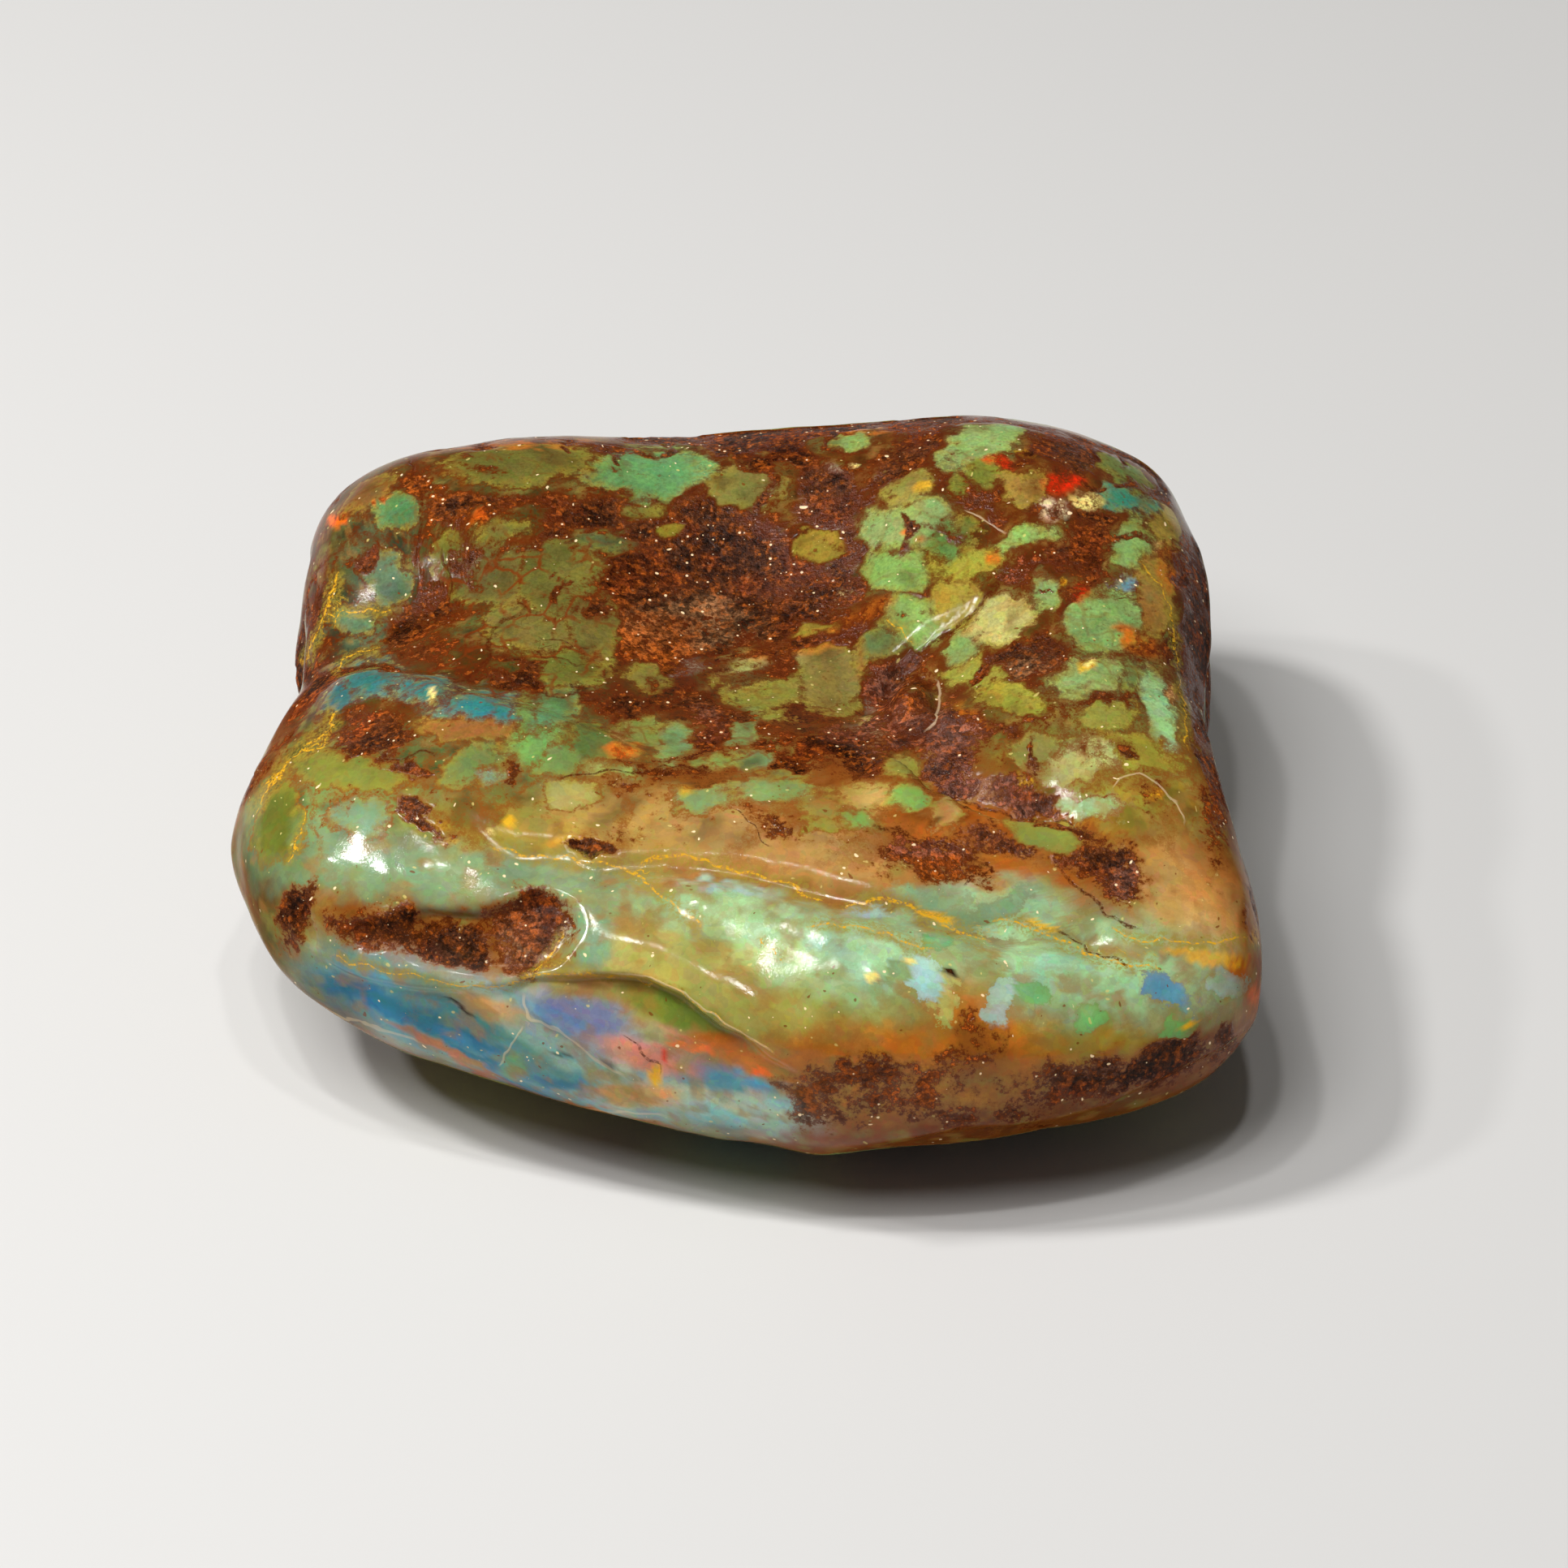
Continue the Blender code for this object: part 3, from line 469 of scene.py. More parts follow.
# Then the opal-like colours of the chipped front, in long soft strokes.
veils = [
    ("sky", [(660, 1290, 260, 70, 20, 0.9), (930, 1370, 80, 24, 10)]),
    ("teal", [(510, 1240, 120, 34, 26), (610, 1288, 70, 26, 24, 0.8), (724, 1160, 26, 38, 0, 0.7)]),
    ("greyTeal", [(500, 1208, 80, 14, 15, 0.9), (725, 1150, 34, 36, 0, 0.6), (690, 1205, 60, 9, 0, 0.6)]),
    ("azure", [(520, 1262, 150, 34, 26, 0.7), (690, 1333, 64, 13, 8), (630, 1300, 50, 14, 24, 0.8),
        (480, 1225, 90, 24, 20, 0.6)]),
    ("deepAzure", [(536, 1258, 70, 11, 28), (432, 1218, 32, 12, 12, 0.8), (480, 1238, 40, 8, 24, 0.7),
        (680, 1336, 50, 6, 8, 0.7), (600, 1292, 50, 5, 26, 0.6)]),
    ("peach", [(608, 1243, 48, 13, 18, 0.8), (780, 1350, 52, 14, 6, 0.9), (740, 1206, 60, 7, 0, 0.8)]),
    ("azure", [(470, 1222, 70, 16, 20, 0.7), (610, 1318, 60, 14, 26, 0.8), (655, 1345, 80, 10, 12, 0.7),
        (560, 1278, 60, 7, 26, 0.7)]),
    ("deepAzure", [(455, 1226, 46, 12, 20, 0.9), (505, 1252, 60, 9, 26, 0.9), (575, 1296, 50, 5, 28, 0.8),
        (620, 1330, 50, 5, 22, 0.7)]),
    ("lilac", [(712, 1252, 66, 22, 15), (740, 1285, 70, 16, 18, 0.6), (868, 1322, 44, 12, 6, 0.8)]),
    ("rose", [(800, 1300, 62, 20, 15), (850, 1275, 36, 8, 18, 0.7)]),
    # the thin strips along the lower edge are partly the orange of the stone and partly painted glow through its
    # thin edge
    ("amberOrange", [(898, 1290, 56, 12, 16, 0.9), (700, 1366, 120, 6, 12, 0.9), (560, 1300, 90, 6, 28, 0.8)]),
    ("moss", [(828, 1243, 68, 19, 22)]),
    ("azure", [(898, 1333, 62, 10, 5)]),
    ("emerald", [(633, 1314, 13, 12, 0, 0.8)]),
    ("lagoon", [(415, 862, 28, 13, -40), (455, 840, 46, 17, -8), (525, 852, 56, 18, 12), (598, 872, 66, 16, 8)]),
    ("sky", [(895, 1094, 54, 9, 8, 0.8), (1066, 1126, 32, 7, 5, 0.8), (1040, 1180, 60, 12, 30, 0.6)]),
]
# Then the pieces of the mosaic, each with an edge of its own.
pieces = [
    ("tan", [(577, 896, 54, 15), (450, 604, 36, 18, -35), (1420, 735, 26, 44), (1060, 806, 9, 17),
        (1262, 600, 26, 24)]),
    ("mustard", [(1195, 690, 42, 19, -8), (1180, 742, 30, 28), (1000, 778, 22, 8, -15), (1246, 862, 40, 14, 8),
        (1010, 672, 32, 20), (822, 653, 16, 11), (1440, 650, 18, 24, 20), (1400, 925, 50, 18, 10)]),
    ("sage", [(600, 705, 52, 40), (690, 712, 52, 46), (655, 775, 52, 26, 10), (728, 770, 34, 44),
        (560, 690, 26, 36), (700, 822, 50, 22, 8), (620, 650, 30, 12), (640, 568, 84, 26, -3),
        (1118, 602, 28, 15, -20), (1018, 836, 36, 40), (972, 846, 30, 17, -20), (1030, 869, 26, 13),
        (924, 864, 42, 10, 25), (798, 835, 24, 12, 15), (785, 904, 30, 20), (967, 953, 19, 7), (973, 922, 9, 8),
        (919, 596, 47, 27), (787, 626, 21, 11), (1200, 830, 40, 16, -5), (1110, 944, 18, 10), (1015, 990, 30, 16),
        (1290, 1028, 38, 15, 15), (1025, 1018, 20, 9), (1364, 882, 30, 15, -10), (1280, 925, 34, 20, 10),
        (430, 950, 60, 20, 5)]),
    ("moss", [(345, 1014, 26, 44, 10), (1215, 585, 15, 18), (1182, 596, 10, 8), (1190, 652, 15, 14)]),
    ("deepJade", [(1165, 664, 27, 24), (1090, 787, 28, 22, -20), (748, 668, 40, 12, 8), (725, 915, 30, 22),
        (1398, 834, 14, 16), (1388, 580, 36, 13, 35)]),
    ("jade", [(1215, 540, 64, 22, -30), (1106, 706, 43, 26), (1118, 646, 56, 30, -6), (652, 880, 30, 22, -10),
        (660, 912, 36, 28), (1122, 767, 34, 28, -20), (1184, 798, 21, 17), (1289, 731, 14, 19), (1362, 766, 48, 38),
        (1388, 734, 42, 7, 10), (1396, 668, 22, 30, 15), (1266, 662, 32, 8, -12), (1345, 835, 48, 18, -8),
        (1043, 543, 24, 9, -10), (832, 912, 20, 25, 20), (862, 936, 21, 9, 15), (916, 900, 17, 27, 5),
        (931, 934, 18, 14, -20), (889, 937, 14, 9), (952, 911, 9, 7), (955, 974, 48, 12, 5), (868, 985, 34, 14),
        (584, 944, 40, 19, -20), (1120, 981, 18, 15), (1055, 1013, 21, 12), (1340, 930, 34, 16, 15),
        (690, 930, 40, 22)]),
    ("emerald", [(800, 583, 74, 30, -4), (492, 630, 28, 22, -20), (674, 874, 34, 24, -20), (512, 850, 13, 7),
        (1154, 1157, 13, 10), (1272, 1222, 16, 10, 25), (1347, 1258, 15, 12), (1455, 1268, 17, 9, -15)]),
    ("aqua", [(1432, 880, 18, 54, -15), (658, 902, 26, 18), (1340, 995, 30, 11), (1308, 1183, 28, 8),
        (1240, 1143, 28, 6, 5), (600, 952, 18, 10), (1066, 1182, 50, 20)]),
    ("greyTeal", [(475, 712, 24, 30), (436, 765, 22, 15), (442, 1006, 32, 18), (1145, 1108, 34, 9, 5),
        (1236, 1115, 28, 8, -28), (1187, 1132, 28, 8), (1100, 1190, 30, 12, 20)]),
    ("paleSage", [(1330, 935, 56, 22, -10), (1234, 764, 46, 24, -25), (925, 815, 27, 7, -5), (735, 943, 15, 8),
        (766, 944, 12, 10), (705, 978, 26, 16), (1162, 1231, 9, 20, 10)]),
    ("peach", [(1163, 1004, 18, 20, 20), (1070, 982, 26, 14), (1224, 526, 18, 5, -15), (1188, 553, 14, 5, -35),
        (1418, 673, 9, 8), (1272, 593, 12, 9), (765, 905, 14, 12), (1440, 860, 8, 14)]),
    ("teal", [(1388, 613, 38, 14, 8), (470, 818, 12, 8)]),
    ("lagoon", [(418, 858, 26, 14, -35), (458, 838, 48, 18, -6), (520, 850, 44, 17, 14), (592, 872, 66, 17, 8)]),
    ("azure", [(1384, 720, 13, 8), (1438, 1224, 28, 13, 25)]),
    ("sky", [(1228, 1250, 12, 12), (1510, 1208, 18, 12), (1140, 1203, 17, 24, 10), (1234, 1224, 16, 11, 30)]),
]
# Last the brightest and the darkest touches.
touches = [
    ("amberOrange", [(1226, 685, 10, 12), (1400, 790, 30, 14, 30), (910, 748, 12, 8), (1185, 880, 26, 10, 20),
        (1440, 700, 16, 30, -10, 0.8), (640, 548, 90, 5, -2, 0.7), (960, 530, 140, 5, 0, 0.8),
        (1060, 760, 50, 8, -25, 0.8), (975, 800, 60, 8, -8, 0.8)]),
    ("orangeFire", [(766, 923, 22, 7), (1126, 659, 9, 5, 20), (417, 642, 14, 8, -20), (470, 616, 12, 4, -30, 0.7),
        (590, 635, 22, 6, -25, 0.7), (850, 1290, 30, 5, 15, 0.6), (938, 1322, 12, 5, 0, 0.8),
        (1205, 895, 14, 5, 15, 0.8), (1545, 1225, 8, 14, 0, 0.6), (880, 846, 10, 3)]),
    ("redFire", [(1309, 596, 25, 14, -15), (1230, 569, 18, 7, 8), (1333, 727, 17, 10, -40),
        (818, 1300, 3, 15, 0, 0.8), (885, 538, 30, 7, 0, 0.4), (808, 810, 14, 10, 30, 0.4)]),
    ("gold", [(1262, 557, 9, 5, 0, 0.8), (1309, 718, 5, 5), (1135, 601, 8, 7, 0, 0.7), (1336, 822, 13, 7, -30, 0.8),
        (631, 1014, 8, 7, 0, 0.7), (700, 1036, 26, 5, 0, 0.45), (842, 976, 8, 7, 0, 0.7),
        (1480, 1176, 50, 6, 4, 0.6), (1500, 1187, 40, 5, 6, 0.6), (1550, 1150, 8, 12, 0, 0.5),
        (535, 1018, 22, 5, 10, 0.4), (555, 1040, 10, 4, 0, 0.4), (810, 1327, 7, 14), (1420, 975, 14, 4, -5),
        (1262, 962, 14, 5, 15), (1285, 1140, 20, 4, 25), (1150, 1128, 26, 5, 20), (1465, 1262, 12, 4, -20)]),
    ("paleGold", [(531, 859, 5, 11, 10), (1340, 619, 18, 11), (876, 820, 5, 4), (1067, 890, 6, 6),
        (1034, 733, 12, 6), (1122, 1186, 6, 5), (1076, 1204, 8, 7), (605, 1022, 7, 5), (1340, 818, 8, 4, -30),
        (1050, 575, 5, 5)]),
    ("cream", [(1297, 628, 20, 13), (1040, 600, 12, 5, 30, 0.6)]),
    ("paleGrey", [(1024, 582, 14, 12, 0, 0.8), (842, 824, 18, 9), (1086, 850, 12, 30, 35, 0.5),
        (1062, 902, 36, 10, 0, 0.4), (1215, 975, 50, 8, 18, 0.4), (1117, 858, 10, 8, 0, 0.6)]),
    ("darkUmber", [(1170, 1199, 9, 5, 25), (502, 996, 20, 8, 35), (735, 1046, 22, 5, 8), (569, 1243, 20, 2, 35),
        (1184, 1010, 6, 8), (1148, 1014, 5, 4), (690, 1300, 14, 3, 12, 0.7), (750, 1310, 10, 3, 30, 0.7)]),
]

# Where the brown crust lies, in the same way; strengths past 1 push its edge outwards.
crustMarks = [
    (850, 700, 190, 108, 8, 1.3), (960, 760, 120, 66, -15, 1.25), (760, 650, 100, 45, 10, 1.15),
    (1040, 640, 45, 90, 15, 0.9), (900, 660, 120, 40, 0, 1.1), (800, 800, 60, 40, 20, 1), (865, 888, 44, 46, 0, 1),
    (755, 868, 64, 20, 10, 0.9), (1020, 928, 92, 34, 5, 1.15), (1110, 570, 60, 26, -40, 1),
    (1060, 590, 40, 40, 0, 0.8), (1188, 600, 44, 26, 0, 0.9), (1253, 637, 32, 16, 0, 0.9),
    (1335, 665, 40, 26, 0, 1), (1250, 715, 26, 36, 0, 0.9), (1270, 812, 58, 28, -12, 1.1),
    (1320, 765, 13, 40, 0, 0.9), (1130, 736, 50, 9, -10, 0.8), (1165, 772, 70, 10, -38, 1),
    (1395, 813, 26, 11, 0, 0.9), (1320, 870, 66, 11, -8, 0.9), (1080, 848, 36, 44, 0, 0.8),
    (1185, 882, 46, 24, 0, 0.8), (1240, 912, 50, 18, 15, 0.7), (1305, 541, 60, 20, 15, 0.8),
    (1484, 780, 26, 140, -8, 1.1), (1500, 930, 24, 120, 0, 1.1), (1550, 1090, 14, 110, -8, 1),
    (1300, 560, 60, 14, 20, 0.5), (350, 895, 16, 90, 32, 0.8), (375, 800, 14, 60, 8, 0.9),
    (1117, 869, 34, 40, 0, 1.2), (1172, 905, 44, 32, 20, 1), (1080, 1350, 140, 40, -4, 0.88),
    (1290, 1342, 140, 34, -12, 0.9), (1250, 1042, 70, 16, 18, 0.85), (1345, 1030, 40, 12, 30, 0.8),
    (1170, 958, 62, 24, 28, 1), (1262, 985, 80, 20, 12, 0.9), (1140, 1056, 74, 26, 6, 1),
    (1367, 1056, 34, 20, 10, 1), (1382, 1090, 30, 22, 40, 0.9), (1300, 1052, 44, 10, 0, 0.7),
    (518, 600, 28, 48, -10, 0.95), (545, 652, 40, 12, -10, 0.9), (620, 632, 60, 12, -18, 0.8),
    (690, 612, 80, 14, -4, 0.8), (528, 800, 40, 20, 10, 0.8), (540, 745, 42, 28, 0, 0.8),
    (690, 852, 60, 9, 12, 0.8), (465, 900, 60, 32, -4, 1.15), (480, 945, 66, 7, 12, 1.2),
    (628, 945, 14, 34, 10, 1.2), (398, 735, 13, 40, 10, 0.9), (820, 945, 90, 8, 8, 0.6),
    (364, 1132, 22, 44, 28, 1.1), (470, 1150, 66, 32, 8, 1.2), (560, 1165, 62, 36, 8, 1.25),
    (645, 1150, 54, 44, -15, 1.3), (1010, 1370, 54, 28, -15, 1.1), (1205, 1290, 34, 44, 10, 0.65),
    (1430, 1312, 100, 24, -20, 1.15), (505, 993, 24, 9, 25, 1.5), (530, 1022, 28, 9, 35, 1.3),
    (945, 1010, 50, 12, 30, 0.9), (727, 1043, 24, 8, 8, 1.5), (720, 532, 140, 8, 0, 0.5),
    (1180, 1300, 50, 18, 0, 0.5),
]
crustTones = [
    ("darkUmber", [(900, 700, 150, 60, 0, 0.4), (1020, 925, 90, 26), (1165, 772, 60, 12, -38),
        (1490, 800, 14, 120, -6)]),
    ("darkUmber", [(520, 1165, 130, 50, 6, 0.7), (380, 1130, 40, 60, 20, 0.6)]),
    ("taupe", [(850, 770, 80, 30, 0, 0.5), (640, 1152, 34, 28, 0, 0.3), (1270, 820, 40, 16, -12, 0.3)]),
    ("mauveBrown", [(1215, 970, 120, 28, 18, 0.8), (1172, 905, 44, 36, 20, 0.9), (1080, 860, 24, 44, 0, 0.8),
        (1080, 905, 60, 16), (1130, 1040, 60, 12, 8), (1382, 1090, 30, 26, 30, 0.6), (1250, 700, 26, 30, 0, 0.6),
        (860, 905, 40, 30, 0, 0.5)]),
    ("russet", [(1130, 1325, 170, 34, -5, 0.9), (1200, 1265, 40, 34), (1117, 872, 18, 24, 0, 0.4),
        (1159, 1066, 50, 16, 5, 0.7), (545, 645, 60, 14, -10, 0.6), (520, 600, 24, 44, -10, 0.5),
        (1500, 900, 12, 160, 0, 0.7), (800, 790, 60, 30, 0, 0.5)]),
]

# Lines on the skin: width in pixels, then the points.
goldLines = [
    (5, [(600, 1041), (651, 1054), (696, 1057), (740, 1064), (779, 1077), (804, 1089), (820, 1105), (842, 1128),
        (874, 1147)]),
    (6, [(779, 1077), (804, 1057), (842, 1054), (874, 1064), (930, 1078), (967, 1090), (993, 1103), (1030, 1113)]),
    (7, [(1033, 1120), (1073, 1110), (1103, 1113), (1137, 1127), (1163, 1136), (1203, 1157), (1223, 1160)]),
    (5, [(1213, 1133), (1250, 1133), (1280, 1147), (1303, 1160), (1337, 1172), (1383, 1186), (1433, 1197)]),
    (4, [(990, 1140), (1040, 1143), (1087, 1150), (1117, 1163), (1157, 1170)]),
    (3, [(935, 1153), (948, 1166), (967, 1185)]),
    (4, [(335, 959), (363, 931), (394, 922), (404, 904)]),
    (2.5, [(376, 993), (370, 1028), (356, 1066)]),
    (3, [(408, 775), (425, 755), (450, 748), (485, 752)]),
    (3, [(410, 835), (430, 806), (470, 800)]),
    (4, [(306, 1010), (330, 970), (360, 935), (400, 900), (420, 870)]),
    (3, [(640, 1205), (700, 1202), (760, 1202), (830, 1218), (890, 1258), (940, 1292), (962, 1306)]),
    (3, [(400, 1178), (440, 1190), (500, 1200), (560, 1218), (630, 1212), (662, 1195), (690, 1165), (696, 1135)]),
    (4, [(1370, 1143), (1403, 1160), (1440, 1160), (1500, 1162), (1540, 1150)]),
    (3, [(1090, 760), (1110, 775), (1118, 790)]),
    (3, [(1400, 690), (1430, 720), (1448, 770), (1455, 850), (1470, 930)]),
    (4, [(370, 820), (392, 780), (410, 740), (415, 700)]),
]
darkLines = [
    (6, [(631, 739), (645, 752), (662, 755)]),
    (6, [(645, 752), (635, 758), (612, 779), (602, 805), (601, 820), (570, 836), (539, 843)]),
    (5, [(601, 820), (628, 838), (658, 851), (705, 860), (760, 872)]),
    (3, [(547, 674), (550, 700), (555, 735)]),
    (2, [(664, 780), (700, 792), (730, 800)]),
    (2, [(655, 800), (700, 815), (728, 818)]),
    (7, [(1234, 710), (1212, 745), (1177, 770), (1145, 786), (1113, 815)]),
    (5, [(1127, 945), (1160, 968), (1190, 993), (1232, 1003), (1263, 1008), (1310, 1016), (1343, 1028)]),
    (8, [(1073, 1013), (1113, 1027), (1157, 1040), (1193, 1050), (1207, 1067)]),
    (5, [(1207, 1067), (1222, 1066), (1232, 1075)]),
    (5, [(1209, 1068), (1198, 1080), (1189, 1092)]),
    (5, [(1300, 1065), (1320, 1085), (1340, 1103), (1370, 1130), (1407, 1147)]),
    (4, [(1303, 1148), (1337, 1167), (1367, 1178), (1387, 1188)]),
    (2.5, [(905, 995), (925, 1010), (940, 1030), (955, 1045)]),
    (2.5, [(767, 1274), (790, 1292), (818, 1322)]),
    (3, [(400, 925), (435, 918), (466, 928), (500, 938), (540, 925)]),
    (4, [(500, 560), (518, 600), (520, 640), (515, 700)]),
    (8, [(1097, 832), (1090, 860), (1097, 890), (1117, 903), (1140, 895), (1152, 872), (1148, 850), (1130, 834),
        (1110, 830)]),
    (3, [(684, 962), (720, 950), (770, 950), (820, 940), (880, 950)]),
]
# Pale lines: pale streaks on the chipped face and a pale rim by the knob, and painted glints along the arc at the
# top right and the crescent at the right.
paleLinesAndGlints = [
    (4, [(645, 1222), (648, 1254), (687, 1269), (728, 1300), (771, 1327)]),
    (3, [(1152, 835), (1158, 860), (1150, 885), (1139, 898)]),
    (2.5, [(1190, 628), (1215, 640), (1240, 657)]),
    (2.5, [(1370, 972), (1378, 958), (1400, 952), (1425, 963), (1448, 985), (1462, 1015)]),
    (3, [(645, 1262), (630, 1290), (614, 1315)]),
    (3, [(560, 1318), (600, 1338), (650, 1356), (720, 1368), (800, 1372), (830, 1380)]),
    (3, [(390, 1238), (420, 1252), (460, 1266), (520, 1284)]),
    (3, [(748, 1197), (800, 1205), (845, 1225), (885, 1255), (925, 1280), (955, 1300)]),
]

# Swollen spots on the front rolls that catch the light: x, y and radius in pixels, height in millimetres.
lightBeads = [
    (442, 1031, 16, 0.03), (408, 1060, 18, 0.04), (436, 1068, 20, 0.04), (479, 1075, 16, 0.04),
    (524, 1069, 15, 0.04), (554, 1067, 14, 0.03), (592, 1072, 14, 0.04), (618, 1079, 16, 0.04),
    (663, 1094, 17, 0.04), (728, 1121, 16, 0.04), (850, 1112, 13, 0.03), (867, 1108, 12, 0.03),
    (963, 1140, 22, 0.05), (984, 1156, 12, 0.03), (1014, 1167, 18, 0.05), (1038, 1191, 15, 0.04),
    (1076, 1201, 12, 0.04), (996, 1284, 18, 0.06), (1460, 1010, 12, 0.05),
]
# Painted shade: darker places where the stone lies in shade, on its walls and lower edges, in the pocket and over
# the back left, in the same way.
paintedShadeMarks = [
    (310, 1120, 50, 130, -14, 0.55), (400, 1240, 70, 40, 30, 0.4), (330, 910, 40, 110, 32, 0.6),
    (640, 1385, 240, 18, 18, 0.4), (650, 1285, 290, 66, 20, 0.14), (550, 690, 200, 180, 0, 0.28),
    (600, 970, 240, 50, 0, 0.2), (530, 1160, 130, 46, 6, 0.4), (345, 1050, 46, 120, -5, 0.26),
    (880, 900, 200, 50, 0, 0.12), (370, 760, 22, 90, 8, 0.4), (1560, 1210, 30, 60, 0, 0.4),
    (1300, 1390, 260, 30, -10, 0.4), (1505, 860, 24, 190, -4, 0.5),
]
# Duller places along the seam.
mattMarks = [
    (700, 1035, 130, 20, 6, 0.6), (900, 1060, 160, 22, 8, 0.6),
]
# Where the ground at the back stays free of crust.
clearGround = [
    (610, 572, 200, 34, -3), (440, 700, 60, 110, 8), (1420, 960, 110, 80), (1460, 700, 26, 100, -8),
    (430, 930, 130, 60), (640, 740, 120, 90, 0, 0.8), (640, 930, 110, 50, 0, 0.8), (1150, 690, 60, 40, 0, 0.5),
    (1290, 940, 70, 40, 0, 0.6),
]
# Where a net of fine rusty lines shows, then where the colours glow a little with painted light, in the same way.
netMarks = [
    (620, 760, 160, 120, 0, 1), (690, 740, 70, 110, 0, 1), (900, 900, 160, 60, 0, 0.6),
    (1200, 700, 140, 110, 0, 0.35), (1350, 780, 90, 90, 0, 0.4), (560, 600, 140, 50, 0, 0.6),
]
paintedGlowMarks = [
    (620, 1270, 220, 70, 20, 1), (880, 1340, 110, 60, 5, 1), (500, 855, 130, 24, 5, 0.7), (1314, 592, 40, 30, 0, 1),
    (1333, 725, 24, 20, 0, 1), (1150, 1205, 60, 40, 0, 0.5), (1440, 1235, 60, 30, 0, 0.6),
    (804, 582, 75, 32, 0, 0.5),
]

# Patches of the sides that the camera doesn't see: size in millimetres, seed and how rare they are.
hiddenTones = {
    "sage": (6.0, 21, -0.1), "jade": (4.5, 31, 0.1), "teal": (5.0, 41, 0.3), "tan": (4.0, 51, 0.15),
    "azure": (3.0, 61, 0.42), "mustard": (3.5, 71, 0.2), "aqua": (4.0, 81, 0.3),
}
print("tables ready")


# A screen colour as linear light: ((c + 0.055) / 1.055) to the power 2.4.
def linearColour(name):
    value = np.array(stoneColours[name], float) / 255
    return np.where(value > 0.04045, ((value + 0.055) / 1.055) ** 2.4, value / 12.92)


# Each oval's strength at each place, fading from 1 - soft to 1 + soft of its radius.
def ovalMask(picture, oval, soft):
    x, y, rx, ry, *rest = oval
    turn, strength = (*rest, *(0, 1)[len(rest):])
    return strength * smooth(1 + soft, 1 - soft, ovalDistance(picture[:, 0], picture[:, 1], x, y, rx, ry, turn))


# Lays each colour's ovals over what is there: tint + mask * (colour - tint).
def layOn(tint, picture, marks, soft):
    for name, ovals in marks:
        colour = linearColour(name)
        for oval in ovals:
            tint = tint + ovalMask(picture, oval, soft)[:, None] * (colour - tint)
    return tint


mosaicForm = {
    "vary": (0.16, 0.1, 0.18),    # how far red, green and blue differ from piece to piece
    "swell": 0.14,                # how much wider every piece is than its oval, mm
}


# A mosaic of ovals: how deep each place lies in its best piece, (1 - share of the radius) * least radius, how
# far that beats the next piece, and the best piece's colour.
def mosaic(picture, marks):
    depth = np.full(len(picture), -1e3)
    second = depth.copy()
    tint = np.zeros((len(picture), 3))
    for name, ovals in marks:
        for x, y, rx, ry, *turn in ovals:
            share = ovalDistance(picture[:, 0], picture[:, 1], x, y, rx, ry, turn[0] if turn else 0)
            own = (1 - share) * min(rx, ry)
            better = own > depth
            second = np.where(better, depth, np.maximum(second, own))
            chance = lattice(*np.full((2, 3), [[x], [y]], np.int64), np.arange(3))
            vary = 1 + np.array(mosaicForm["vary"]) * chance
            tint = np.where(better[:, None], linearColour(name) * vary, tint)
            depth = np.where(better, own, depth)
    return depth / pixelsPerMm + mosaicForm["swell"], (depth - second) / 2 / pixelsPerMm, tint


# The strongest of the ovals at each place.
def strongest(picture, ovals, soft):
    return np.max([ovalMask(picture, oval, soft) for oval in ovals], axis=0)


# Splits space in uneven cells: each point's nearest seed, where each lattice box holds one seed.
def cellCentres(points, size, seed):
    place = points / size
    whole = np.floor(place).astype(np.int64)
    best = np.full(len(points), np.inf)
    centre = np.zeros_like(points)
    for a in (-1, 0, 1):
        for b in (-1, 0, 1):
            for c in (-1, 0, 1):
                box = whole + np.array([a, b, c])
                jitter = np.stack([lattice(*(box + seed + 11 * k).T) for k in range(3)], 1)
                spot = box + 0.5 + 0.45 * jitter
                away = ((place - spot) ** 2).sum(1)
                closer = away < best
                best = np.where(closer, away, best)
                centre = np.where(closer[:, None], spot, centre)
    return centre * size


lineForm = {
    "ends": 0.08,         # share of its length over which a line fades in and out
    "reach": (18, 10),    # pixels from a line where its field starts and is full
}


# For lines in the picture: signed distance to the nearest in millimetres, where it shows, and its width.
def lineField(picture, lines):
    distance = np.full(len(picture), np.inf)
    signed, ends, width = (np.zeros(len(picture)) for k in range(3))
    for thick, points in lines:
        away, side, share = nearest(picture, points)
        closer = away < distance
        distance = np.where(closer, away, distance)
        signed = np.where(closer, side, signed)
        ends = np.where(closer, fadeEnds(share, lineForm["ends"], 1 - lineForm["ends"]), ends)
        width = np.where(closer, thick, width)
    show = smooth(*lineForm["reach"], distance) * ends
    return np.stack([np.clip(signed / pixelsPerMm, -1, 1), show, width / pixelsPerMm], 1)


directions, quads = cubeGrid(stoneForm["gridSteps"], stoneForm["lean"])
skin = stonePoints(directions, stoneForm)
boxMiddle = (np.array(cadBox[0]) + np.array(cadBox[1])) / 2 / mm
ownMiddle = (skin.min(0) + skin.max(0)) / 2
skin[:, :2] += (boxMiddle - ownMiddle)[:2]
print("stone worked out", len(skin), "points")

